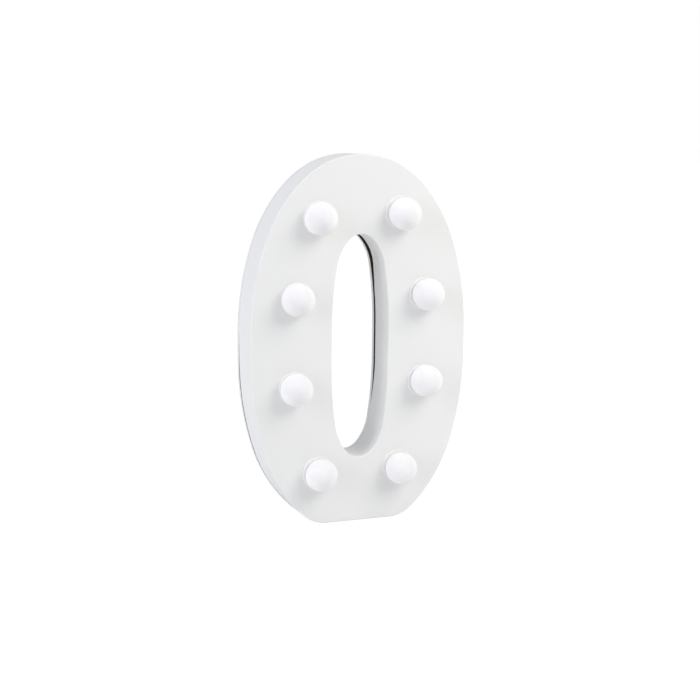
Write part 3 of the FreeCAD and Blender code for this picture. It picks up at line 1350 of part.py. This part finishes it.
make_front_shell()
make_back_cover()
make_battery_door()
for bulb in BULBS:
    make_socket(bulb)
    make_globe(bulb)
    make_led(bulb)
make_chain_wire("red_wire", -1)
make_chain_wire("black_wire", 1)
make_red_lead()
make_black_lead()
make_cell("cell_1", LEFT_CELL_X, True)
make_cell("cell_2", RIGHT_CELL_X, False)
make_terminal("positive_contact", LEFT_CELL_X)
make_terminal("negative_contact", RIGHT_CELL_X)
make_bridge()
cell_foot = plus(CONTACT_HIGH, length(cell_length=-1))
cell_head = plus(CONTACT_LOW, length(cell_length=1))
make_spring("left_spring", LEFT_CELL_X, plus(BAY_LOW, length(plate_thick=1)), cell_foot)
make_spring("right_spring", RIGHT_CELL_X, plus(BAY_HIGH, length(plate_thick=-1)), cell_head)
make_switch_body()
make_switch_knob()
make_switch_screws()
make_resistor()
make_cover_screws()
document.recompute()

PIECES = ["front_shell", "back_cover", "battery_door"]
for bulb in BULBS:
    PIECES += ["bulb_socket_%d" % bulb, "bulb_globe_%d" % bulb, "led_%d" % bulb]
PIECES += ["red_wire", "black_wire", "red_lead", "black_lead"]
PIECES += ["cell_1", "cell_2", "positive_contact", "negative_contact", "bridge_contact"]
PIECES += ["left_spring", "right_spring", "switch_body", "switch_knob", "switch_screws"]
PIECES += ["resistor", "cover_screws"]

for item in document.Objects:
    if "Invalid" in item.State or "Error" in item.State:
        raise RuntimeError("%s failed: %s" % (item.Label, item.State))

os.makedirs("parts", exist_ok=True)
for name in PIECES:
    shape = document.getObjectsByLabel(name)[0].Shape
    if shape.isNull() or not shape.isValid():
        raise RuntimeError("%s has no valid shape" % name)
    shape.exportStep("parts/%s.step" % name)
    print("%-18s %2d solid(s) %10.1f mm3" % (name, len(shape.Solids), shape.Volume))
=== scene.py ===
"""The light-up letter: finishes, floor, light and camera. Lengths are in metres."""
import math

import bpy
from mathutils import Matrix, Vector


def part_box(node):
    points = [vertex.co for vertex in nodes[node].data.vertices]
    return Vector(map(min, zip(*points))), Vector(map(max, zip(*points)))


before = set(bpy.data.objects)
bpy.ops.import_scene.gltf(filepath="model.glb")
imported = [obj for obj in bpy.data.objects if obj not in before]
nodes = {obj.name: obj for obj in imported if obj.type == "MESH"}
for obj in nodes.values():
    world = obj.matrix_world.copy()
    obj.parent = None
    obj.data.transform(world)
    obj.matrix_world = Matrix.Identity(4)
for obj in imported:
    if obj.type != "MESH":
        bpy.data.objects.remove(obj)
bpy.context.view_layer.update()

MM = 0.001
BULBS = range(1, 9)
# The letter's middle stands this high, in millimetres. The lamp and the camera are placed from it.
MIDDLE_HEIGHT = 110.0
# A mask turns from 0 to 1 over this far on either side of its edge.
EDGE = 0.05 * MM
# The sockets that the mix node uses when it mixes colours.
MIX_FACTOR, MIX_LOW, MIX_HIGH, MIX_COLOUR = 0, 6, 7, 2


# Materials are built from small graphs of nodes, all placed by the object's own coordinates.

class Graph:
    """One material, with short calls for the nodes that it needs.

    place is the point on the object, x, y and z are its coordinates, and normal is the surface's
    direction there. Settings name the shader's sockets, with underscores for spaces.
    """

    def __init__(self, name, **settings):
        self.material = bpy.data.materials.new(name)
        self.material.use_nodes = True
        self.tree = self.material.node_tree
        self.shader = self.tree.nodes["Principled BSDF"]
        for socket, value in settings.items():
            self.shader.inputs[socket.replace("_", " ")].default_value = value
        coordinates = self.node("ShaderNodeTexCoord")
        self.place = coordinates.outputs["Object"]
        self.normal = coordinates.outputs["Normal"]
        self.x, self.y, self.z = self.split(self.place)

    def node(self, kind, **settings):
        node = self.tree.nodes.new(kind)
        for name, value in settings.items():
            setattr(node, name, value)
        return node

    def feed(self, socket, value):
        if isinstance(value, bpy.types.NodeSocket):
            self.tree.links.new(value, socket)
        else:
            socket.default_value = value

    def split(self, vector):
        node = self.node("ShaderNodeSeparateXYZ")
        self.feed(node.inputs[0], vector)
        return node.outputs[0], node.outputs[1], node.outputs[2]

    def math(self, operation, *values):
        node = self.node("ShaderNodeMath", operation=operation)
        for socket, value in zip(node.inputs, values):
            self.feed(socket, value)
        return node.outputs[0]

    def product(self, first, second):
        return self.math("MULTIPLY", first, second)

    def square(self, value):
        return self.math("POWER", value, 2.0)

    def opposite(self, mask):
        """1 where the mask is 0, and 0 where it is 1."""
        return self.math("SUBTRACT", 1.0, mask)

    def step(self, value, edge, soft=EDGE):
        """0 below the edge and 1 above it."""
        node = self.node("ShaderNodeMapRange", interpolation_type="SMOOTHSTEP")
        self.feed(node.inputs["Value"], value)
        node.inputs["From Min"].default_value = edge - soft
        node.inputs["From Max"].default_value = edge + soft
        return node.outputs[0]

    def band(self, value, low, high, soft=EDGE):
        """1 from low to high, and 0 outside."""
        return self.product(self.step(value, low, soft), self.opposite(self.step(value, high, soft)))

    def noise(self, size, detail=3.0, stretch=(1.0, 1.0, 1.0)):
        """Noise from 0 to 1, whose patches are about that size."""
        mapping = self.node("ShaderNodeMapping")
        self.feed(mapping.inputs["Vector"], self.place)
        mapping.inputs["Scale"].default_value = stretch
        node = self.node("ShaderNodeTexNoise")
        self.feed(node.inputs["Vector"], mapping.outputs[0])
        node.inputs["Scale"].default_value = 1.0 / size
        node.inputs["Detail"].default_value = detail
        return node.outputs["Fac"]

    def between(self, factor, low, high):
        """A number that runs from low to high with the factor."""
        node = self.node("ShaderNodeMapRange")
        self.feed(node.inputs["Value"], factor)
        node.inputs["To Min"].default_value = low
        node.inputs["To Max"].default_value = high
        return node.outputs[0]

    def mix(self, factor, low, high):
        """A colour that runs from low to high with the factor."""
        node = self.node("ShaderNodeMix", data_type="RGBA")
        self.feed(node.inputs[MIX_FACTOR], factor)
        for index, value in ((MIX_LOW, low), (MIX_HIGH, high)):
            linked = isinstance(value, bpy.types.NodeSocket)
            self.feed(node.inputs[index], value if linked else (*value, 1.0))
        return node.outputs[MIX_COLOUR]

    def colour(self, value):
        self.feed(self.shader.inputs["Base Color"], value)

    def roughness(self, factor, low, high):
        self.feed(self.shader.inputs["Roughness"], self.between(factor, low, high))

    def metallic(self, value):
        self.feed(self.shader.inputs["Metallic"], value)

    def bump(self, height, distance):
        node = self.node("ShaderNodeBump")
        node.inputs["Distance"].default_value = distance
        self.feed(node.inputs["Height"], height)
        self.feed(self.shader.inputs["Normal"], node.outputs[0])


def shaded(colour, share):
    return tuple(share * value for value in colour)


# The numbers down to the battery bay's margin find the closed room, whose surfaces take painted shade.
# The closed room inside the casing: the height of its middle.
ROOM_MIDDLE = 106.3 * MM
# The ring that runs along the middle of the stroke: half its width and half its height.
STROKE_RING = (43.0 * MM, 88.0 * MM)
RING_SOFT = 0.01
# How much a wall's slope up or down counts in whether it looks outward, next to its slope sideways.
UP_SHARE = 0.35
OUTWARD_SOFT = 0.0005
# A surface whose direction lies this near to the Y axis is a face, and any other is a wall.
FACE_FROM, FACE_SOFT = 0.9, 0.05
# Depths just inside the face's front, behind the cover's ledges, and on both sides of its skin.
FACE_FRONT, LEDGE_BACK = -12.5 * MM, 9.0 * MM
SKIN_INSIDE, SKIN_OUTSIDE = 11.3 * MM, 12.6 * MM
ROOM_EDGE = 0.1 * MM
# The battery bay reaches this far past the door's box.
BAY_MARGIN = 0.4 * MM


def box_mask(graph, node, margin):
    """1 within a node's box, seen from the back and widened by a margin."""
    low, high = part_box(node)
    across = graph.band(graph.x, low[0] - margin, high[0] + margin)
    upward = graph.band(graph.z, low[2] - margin, high[2] + margin)
    return graph.product(across, upward)


def painted_shade_mask(graph):
    """1 on the surfaces that face the closed room between face and back, 0 on those outside; it places
    painted shade.

    A wall stands inside if it looks away from the ring that runs along the middle of the stroke's
    own width. The battery bay is open to the back, so its walls count as outside.
    """
    normal_x, normal_y, normal_z = graph.split(graph.normal)
    up = graph.math("SUBTRACT", graph.z, ROOM_MIDDLE)
    outward = graph.math("ADD", graph.product(normal_x, graph.x),
                         graph.product(normal_z, graph.product(up, UP_SHARE)))
    ring = graph.math("ADD", graph.square(graph.math("DIVIDE", graph.x, STROKE_RING[0])),
                      graph.square(graph.math("DIVIDE", up, STROKE_RING[1])))
    beyond_ring = graph.step(ring, 1.0, RING_SOFT)
    looks_outward = graph.step(outward, 0.0, OUTWARD_SOFT)
    faces_room = graph.math("ABSOLUTE", graph.math("SUBTRACT", beyond_ring, looks_outward))
    to_back = graph.step(normal_y, FACE_FROM, FACE_SOFT)
    to_front = graph.step(graph.product(normal_y, -1.0), FACE_FROM, FACE_SOFT)
    wall = graph.opposite(graph.math("ADD", to_back, to_front))
    fronts = graph.product(to_front, graph.band(graph.y, FACE_FRONT, SKIN_OUTSIDE, ROOM_EDGE))
    backs = graph.product(to_back, graph.band(graph.y, FACE_FRONT, LEDGE_BACK, ROOM_EDGE))
    before_skin = graph.opposite(graph.step(graph.y, SKIN_INSIDE, ROOM_EDGE))
    walls = graph.product(graph.product(faces_room, before_skin), wall)
    inside_shade = graph.math("MAXIMUM", graph.math("MAXIMUM", fronts, backs), walls)
    return graph.product(inside_shade, graph.opposite(box_mask(graph, "battery_door", BAY_MARGIN)))


def plastic(name, tint, inside_shade=None):
    """Satin moulded plastic: faint flow marks, fine grain and a slightly uneven gloss. The optional dark
    colour is painted shade on the surfaces that face the closed room.
    """
    graph = Graph(name, IOR=1.5)
    flow_marks = graph.noise(28 * MM, detail=2.0, stretch=(1.0, 1.0, 0.6))
    shade = graph.mix(flow_marks, shaded(tint, 0.985), tint)
    if inside_shade:
        # Painted shade: surfaces that face the closed room take the dark colour in place of their shadow.
        shade = graph.mix(painted_shade_mask(graph), shade, inside_shade)
    graph.colour(shade)
    graph.roughness(graph.noise(6 * MM), 0.36, 0.46)
    grain = graph.noise(0.35 * MM, detail=2.0)
    waves = graph.product(graph.noise(9 * MM, detail=1.0), 2.5)
    graph.bump(graph.math("ADD", grain, waves), 0.006 * MM)
    return graph.material


def globe_material():
    """Frosted diffuser: milky, faintly lavender, its thin wall letting some light through."""
    graph = Graph("globe_frosted", IOR=1.4, Specular_IOR_Level=0.15, Subsurface_Weight=1.0,
                  Subsurface_Scale=1.5 * MM, Subsurface_Radius=(1.0, 0.97, 1.0))
    clouds = graph.noise(7 * MM, detail=2.0)
    graph.colour(graph.mix(clouds, (0.838, 0.828, 0.855), (0.858, 0.848, 0.875)))
    graph.roughness(graph.noise(1.2 * MM, detail=2.0), 0.75, 0.85)
    graph.bump(graph.noise(0.25 * MM, detail=2.0), 0.004 * MM)
    return graph.material


def socket_material():
    """Cream bush with a soft gloss, a little warmer than the casing."""
    graph = Graph("socket_cream", IOR=1.5)
    clouds = graph.noise(5 * MM, detail=2.0)
    graph.colour(graph.mix(clouds, (0.785, 0.782, 0.765), (0.81, 0.806, 0.79)))
    graph.roughness(graph.noise(1.5 * MM), 0.4, 0.52)
    graph.bump(graph.noise(0.3 * MM, detail=2.0), 0.006 * MM)
    return graph.material


TIN = (0.62, 0.61, 0.58)
# Depths of the LED's yellow die, from its front to its back, and of its lens's back.
DIE_FRONT, DIE_BACK, DIE_SOFT = -11.5 * MM, -8.8 * MM, 0.8 * MM
LENS_BACK = -6.6 * MM


def led_material():
    """Clear lens with the yellow die behind its middle, and tinned legs at its back."""
    graph = Graph("led_lens", IOR=1.53, Coat_Weight=0.4, Coat_Roughness=0.05)
    die = graph.band(graph.y, DIE_FRONT, DIE_BACK, DIE_SOFT)
    die = graph.product(die, graph.between(graph.noise(1.1 * MM), 0.5, 0.9))
    lens = graph.mix(die, (0.82, 0.84, 0.86), (0.86, 0.72, 0.25))
    legs = graph.step(graph.y, LENS_BACK)
    graph.colour(graph.mix(legs, lens, TIN))
    graph.metallic(legs)
    graph.roughness(graph.noise(0.8 * MM), 0.08, 0.22)
    return graph.material


def insulation_material(name, colour):
    """Soft PVC sleeve with a waxy gloss and faint draw lines."""
    graph = Graph(name, IOR=1.5, Coat_Weight=0.15, Coat_Roughness=0.25)
    graph.colour(graph.mix(graph.noise(2.5 * MM), shaded(colour, 0.8), colour))
    graph.roughness(graph.noise(0.9 * MM), 0.28, 0.45)
    graph.bump(graph.noise(0.2 * MM, detail=2.0), 0.01 * MM)
    return graph.material


# The film covers the cell outside this radius. Its head is copper, with a pale line behind it.
JACKET_RADIUS, JACKET_SOFT = 6.6 * MM, 0.08 * MM
HEAD_LENGTH = 15 * MM
LINE_FROM, LINE_TO = 15.4 * MM, 16.4 * MM
COPPER_SHINE = 0.6


def cell_material(name, node, plus_up):
    """Printed film jacket in two plain colours, with bare steel at both ends."""
    graph = Graph(name, IOR=1.5, Coat_Weight=0.5, Coat_Roughness=0.12)
    low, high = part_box(node)
    off_x = graph.math("SUBTRACT", graph.x, (low[0] + high[0]) / 2)
    off_y = graph.math("SUBTRACT", graph.y, (low[1] + high[1]) / 2)
    from_axis = graph.math("SQRT", graph.math("ADD", graph.square(off_x), graph.square(off_y)))
    jacket = graph.step(from_axis, JACKET_RADIUS, JACKET_SOFT)
    if plus_up:
        from_plus = graph.math("SUBTRACT", high[2], graph.z)
    else:
        from_plus = graph.math("SUBTRACT", graph.z, low[2])
    head = graph.opposite(graph.step(from_plus, HEAD_LENGTH))
    line = graph.band(from_plus, LINE_FROM, LINE_TO)
    dark = graph.mix(graph.noise(4 * MM), (0.028, 0.03, 0.034), (0.042, 0.045, 0.05))
    brushed = graph.noise(0.6 * MM, detail=2.0, stretch=(1.0, 1.0, 0.08))
    copper = graph.mix(brushed, (0.42, 0.2, 0.09), (0.5, 0.25, 0.12))
    film = graph.mix(line, graph.mix(head, dark, copper), (0.7, 0.68, 0.62))
    steel = graph.mix(graph.noise(0.8 * MM), (0.58, 0.57, 0.55), (0.7, 0.69, 0.66))
    graph.colour(graph.mix(jacket, steel, film))
    copper_metal = graph.product(graph.product(head, jacket), COPPER_SHINE)
    graph.metallic(graph.math("MAXIMUM", graph.opposite(jacket), copper_metal))
    graph.roughness(graph.noise(1.5 * MM), 0.2, 0.36)
    graph.bump(graph.noise(3 * MM, detail=2.0), 0.02 * MM)
    return graph.material


def metal_material(name, colour, roughness, grain, stretch=(1.0, 1.0, 1.0)):
    """Plated metal: fine drawing marks, and small changes of tone and gloss."""
    graph = Graph(name, Metallic=1.0)
    marks = graph.noise(grain, detail=4.0, stretch=stretch)
    tone = graph.product(marks, graph.noise(4 * MM))
    graph.colour(graph.mix(tone, shaded(colour, 0.8), colour))
    graph.roughness(marks, *roughness)
    graph.bump(marks, 0.012 * MM)
    return graph.material


# The switch's ears start this far from its middle. They are bare metal, and its can is nearly so.
EARS_FROM = 6.3 * MM
CAN_METAL = 0.94


def switch_material():
    """Folded zinc-plated can with its two screw ears."""
    graph = Graph("switch_can")
    low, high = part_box("switch_body")
    marks = graph.noise(0.5 * MM, detail=4.0, stretch=(0.15, 1.0, 1.0))
    off_middle = graph.math("SUBTRACT", graph.x, (low[0] + high[0]) / 2)
    ears = graph.step(graph.math("ABSOLUTE", off_middle), EARS_FROM)
    graph.colour(graph.mix(marks, (0.5, 0.5, 0.49), (0.66, 0.65, 0.63)))
    graph.metallic(graph.math("MAXIMUM", ears, CAN_METAL))
    graph.roughness(marks, 0.26, 0.44)
    graph.bump(marks, 0.015 * MM)
    return graph.material


def knob_material():
    """Black slider with fine moulded texture."""
    graph = Graph("knob_black", IOR=1.5)
    graph.colour(graph.mix(graph.noise(1.4 * MM), (0.012, 0.012, 0.013), (0.024, 0.024, 0.026)))
    graph.roughness(graph.noise(0.7 * MM), 0.34, 0.55)
    graph.bump(graph.noise(0.22 * MM, detail=2.0), 0.02 * MM)
    return graph.material


# The resistor's lacquered body and the rings round it: brown, black, red and gold.
BODY_HALF = 1.4 * MM
RINGS = ((0.3, 0.14, 0.05), (0.03, 0.03, 0.03), (0.5, 0.05, 0.03), (0.55, 0.38, 0.1))
RING_PITCH, RING_HALF, RING_EDGE = 0.62 * MM, 0.14 * MM, 0.03 * MM


def resistor_material():
    """Beige lacquered body with four plain colour rings, and tinned legs."""
    graph = Graph("resistor_beige", IOR=1.5, Coat_Weight=0.4, Coat_Roughness=0.15)
    low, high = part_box("resistor")
    middle = (low[1] + high[1]) / 2
    shade = graph.mix(graph.noise(0.9 * MM), (0.62, 0.48, 0.3), (0.68, 0.54, 0.36))
    for index, ring in enumerate(RINGS):
        at = middle + (index - (len(RINGS) - 1) / 2) * RING_PITCH
        shade = graph.mix(graph.band(graph.y, at - RING_HALF, at + RING_HALF, RING_EDGE), shade, ring)
    body = graph.band(graph.y, middle - BODY_HALF, middle + BODY_HALF)
    graph.colour(graph.mix(body, TIN, shade))
    graph.metallic(graph.opposite(body))
    graph.roughness(graph.noise(0.8 * MM), 0.25, 0.4)
    graph.bump(graph.noise(0.5 * MM, detail=2.0), 0.02 * MM)
    return graph.material


# Painted shade: the surfaces of the closed room, seen only through the seams, take this dark brown in place
# of the shadow inside the casing, not as a colour of the plastic.
CAVITY_SHADE_COLOUR = (0.07, 0.042, 0.033)

globe = globe_material()
socket = socket_material()
led = led_material()
red = insulation_material("insulation_red", (0.5, 0.02, 0.018))
black = insulation_material("insulation_black", (0.018, 0.018, 0.02))
contact = metal_material("contact_nickel", (0.68, 0.65, 0.6), (0.2, 0.36), 0.5 * MM,
                         stretch=(1.0, 1.0, 0.2))
spring = metal_material("spring_nickel", (0.7, 0.68, 0.64), (0.16, 0.3), 0.4 * MM)
screw = metal_material("screw_zinc", (0.62, 0.62, 0.62), (0.24, 0.42), 0.35 * MM)

finishes = {
    # The casing's two halves carry painted shade on their inside surfaces, behind the seams.
    "front_shell": plastic("shell_white", (0.775, 0.782, 0.777), CAVITY_SHADE_COLOUR),
    "back_cover": plastic("cover_white", (0.768, 0.774, 0.77), CAVITY_SHADE_COLOUR),
    "battery_door": plastic("door_white", (0.77, 0.775, 0.78)),
    "red_wire": red,
    "black_wire": black,
    "red_lead": red,
    "black_lead": black,
    "cell_1": cell_material("cell_film_1", "cell_1", True),
    "cell_2": cell_material("cell_film_2", "cell_2", False),
    "positive_contact": contact,
    "negative_contact": contact,
    "bridge_contact": contact,
    "left_spring": spring,
    "right_spring": spring,
    "switch_body": switch_material(),
    "switch_knob": knob_material(),
    "switch_screws": screw,
    "cover_screws": screw,
    "resistor": resistor_material(),
}
for number in BULBS:
    finishes["bulb_globe_%d" % number] = globe
    finishes["bulb_socket_%d" % number] = socket
    finishes["led_%d" % number] = led

for name, material in finishes.items():
    mesh = nodes[name].data
    mesh.materials.clear()
    mesh.materials.append(material)


# Floor: one pale sweep that stays white under the light, and takes only a faint shadow.

FLOOR_HALF, FLOOR_LEVEL = 8.0, -0.1 * MM
FLOOR_GLOW, GLOW_SHARE = 1.09, 0.85


def floor():
    mesh = bpy.data.meshes.new("floor")
    corners = [(x * FLOOR_HALF, y * FLOOR_HALF, FLOOR_LEVEL) for x, y in ((-1, -1), (1, -1), (1, 1), (-1, 1))]
    mesh.from_pydata(corners, [], [(0, 1, 2, 3)])
    thing = bpy.data.objects.new("floor", mesh)
    bpy.context.scene.collection.objects.link(thing)
    graph = Graph("floor_pale", Roughness=0.9, Specular_IOR_Level=0.0)
    graph.colour(graph.mix(graph.noise(0.4, detail=2.0), (0.84, 0.84, 0.84), (0.86, 0.86, 0.86)))
    glow = graph.node("ShaderNodeEmission")
    glow.inputs["Strength"].default_value = FLOOR_GLOW
    seen = graph.node("ShaderNodeLightPath").outputs["Is Camera Ray"]
    both = graph.node("ShaderNodeMixShader")
    graph.feed(both.inputs[0], graph.product(seen, GLOW_SHARE))
    graph.feed(both.inputs[1], graph.shader.outputs[0])
    graph.feed(both.inputs[2], glow.outputs[0])
    graph.feed(graph.tree.nodes["Material Output"].inputs[0], both.outputs[0])
    mesh.materials.append(graph.material)


floor()


# Light: a soft pale room with broad panels at the left, and one large soft lamp at the upper right.

PANELS = (
    # Azimuth to the right of the front and elevation in degrees, narrowness, strength, colour.
    (-80, 0, 30, 5.4, (1.0, 0.99, 0.985)),
    (-80, 25, 30, 4.7, (0.95, 0.975, 1.04)),
    (90, 5, 8, 0.5, (1.0, 0.99, 0.98)),
    (0, 90, 8, 0.62, (1.05, 1.05, 0.85)),
)
ROOM = (0.49, 0.49, 0.537)
BACKDROP = (1.0, 1.0, 1.0)


def direction(azimuth, elevation):
    """Points from the letter to a place that far to the right of its front and above it."""
    azimuth, elevation = math.radians(azimuth), math.radians(elevation)
    level = math.cos(elevation)
    return Vector((math.sin(azimuth) * level, -math.cos(azimuth) * level, math.sin(elevation)))


def room():
    world = bpy.data.worlds.new("studio")
    bpy.context.scene.world = world
    world.use_nodes = True
    tree = world.node_tree
    tree.nodes.clear()

    def node(kind, *feeds, **settings):
        made = tree.nodes.new(kind)
        for name, value in settings.items():
            setattr(made, name, value)
        for socket, value in zip(made.inputs, feeds):
            if isinstance(value, bpy.types.NodeSocket):
                tree.links.new(value, socket)
            else:
                socket.default_value = value
        return made.outputs

    ray = node("ShaderNodeTexCoord")["Generated"]
    light = node("ShaderNodeBackground", (*ROOM, 1.0), 1.0)[0]
    for azimuth, elevation, narrowness, strength, tint in PANELS:
        facing = node("ShaderNodeVectorMath", ray, direction(azimuth, elevation),
                      operation="DOT_PRODUCT")["Value"]
        facing = node("ShaderNodeMath", facing, 0.0, operation="MAXIMUM")[0]
        facing = node("ShaderNodeMath", facing, narrowness, operation="POWER")[0]
        panel = node("ShaderNodeMath", facing, strength, operation="MULTIPLY")[0]
        glow = node("ShaderNodeBackground", (*tint, 1.0), panel)[0]
        light = node("ShaderNodeAddShader", light, glow)[0]
    seen = node("ShaderNodeBackground", (*BACKDROP, 1.0), 1.0)[0]
    camera_ray = node("ShaderNodeLightPath")["Is Camera Ray"]
    node("ShaderNodeOutputWorld", node("ShaderNodeMixShader", camera_ray, light, seen)[0])


def lamp(name, towards, distance, size, power, colour):
    """A round soft lamp that shines on the letter from that direction."""
    data = bpy.data.lights.new(name, "AREA")
    data.shape = "DISK"
    data.size = size
    data.energy = power
    data.color = colour
    thing = bpy.data.objects.new(name, data)
    bpy.context.scene.collection.objects.link(thing)
    thing.location = Vector((0, 0, MIDDLE_HEIGHT * MM)) + towards * distance
    thing.rotation_euler = towards.to_track_quat("Z", "Y").to_euler()
    thing.visible_camera = False


room()
lamp("key", direction(40, 38), distance=1.0, size=0.7, power=5.0, colour=(1.02, 1.0, 0.92))
bpy.context.scene.view_settings.view_transform = "Standard"


# Camera: stands at the photograph's place, a little left of the letter and above it.

# Angles are in degrees, and the camera's distance and sensor in millimetres.
CAMERA_AZIMUTH, CAMERA_ELEVATION, CAMERA_ROLL = -21.936, 8.929, 0.572
CAMERA_DISTANCE = 850.83
SENSOR_WIDTH = 36.0
# In pixels: the picture's width, its focal length, and how far the letter's middle is off its centre.
PHOTO_WIDTH = 700.0
FOCAL_PIXELS = 1409.57
OFF_RIGHT, OFF_UP = 2.285, 12.453


def camera():
    roll = math.radians(CAMERA_ROLL)
    back = direction(CAMERA_AZIMUTH, CAMERA_ELEVATION)
    right = (-back).cross(Vector((0, 0, 1))).normalized()
    up = right.cross(-back)
    across = math.cos(roll) * right + math.sin(roll) * up
    upward = math.cos(roll) * up - math.sin(roll) * right
    shift_x = OFF_RIGHT * CAMERA_DISTANCE / FOCAL_PIXELS
    shift_y = OFF_UP * CAMERA_DISTANCE / FOCAL_PIXELS
    place = Vector((0, 0, MIDDLE_HEIGHT)) + back * CAMERA_DISTANCE - across * shift_x - upward * shift_y
    data = bpy.data.cameras.new("camera")
    data.sensor_fit = "HORIZONTAL"
    data.sensor_width = SENSOR_WIDTH
    data.lens = FOCAL_PIXELS * SENSOR_WIDTH / PHOTO_WIDTH
    data.clip_start = 0.01
    thing = bpy.data.objects.new("camera", data)
    bpy.context.scene.collection.objects.link(thing)
    axes = Matrix((across, upward, back)).transposed().to_4x4()
    thing.matrix_world = Matrix.Translation(place * MM) @ axes
    bpy.context.scene.camera = thing


camera()
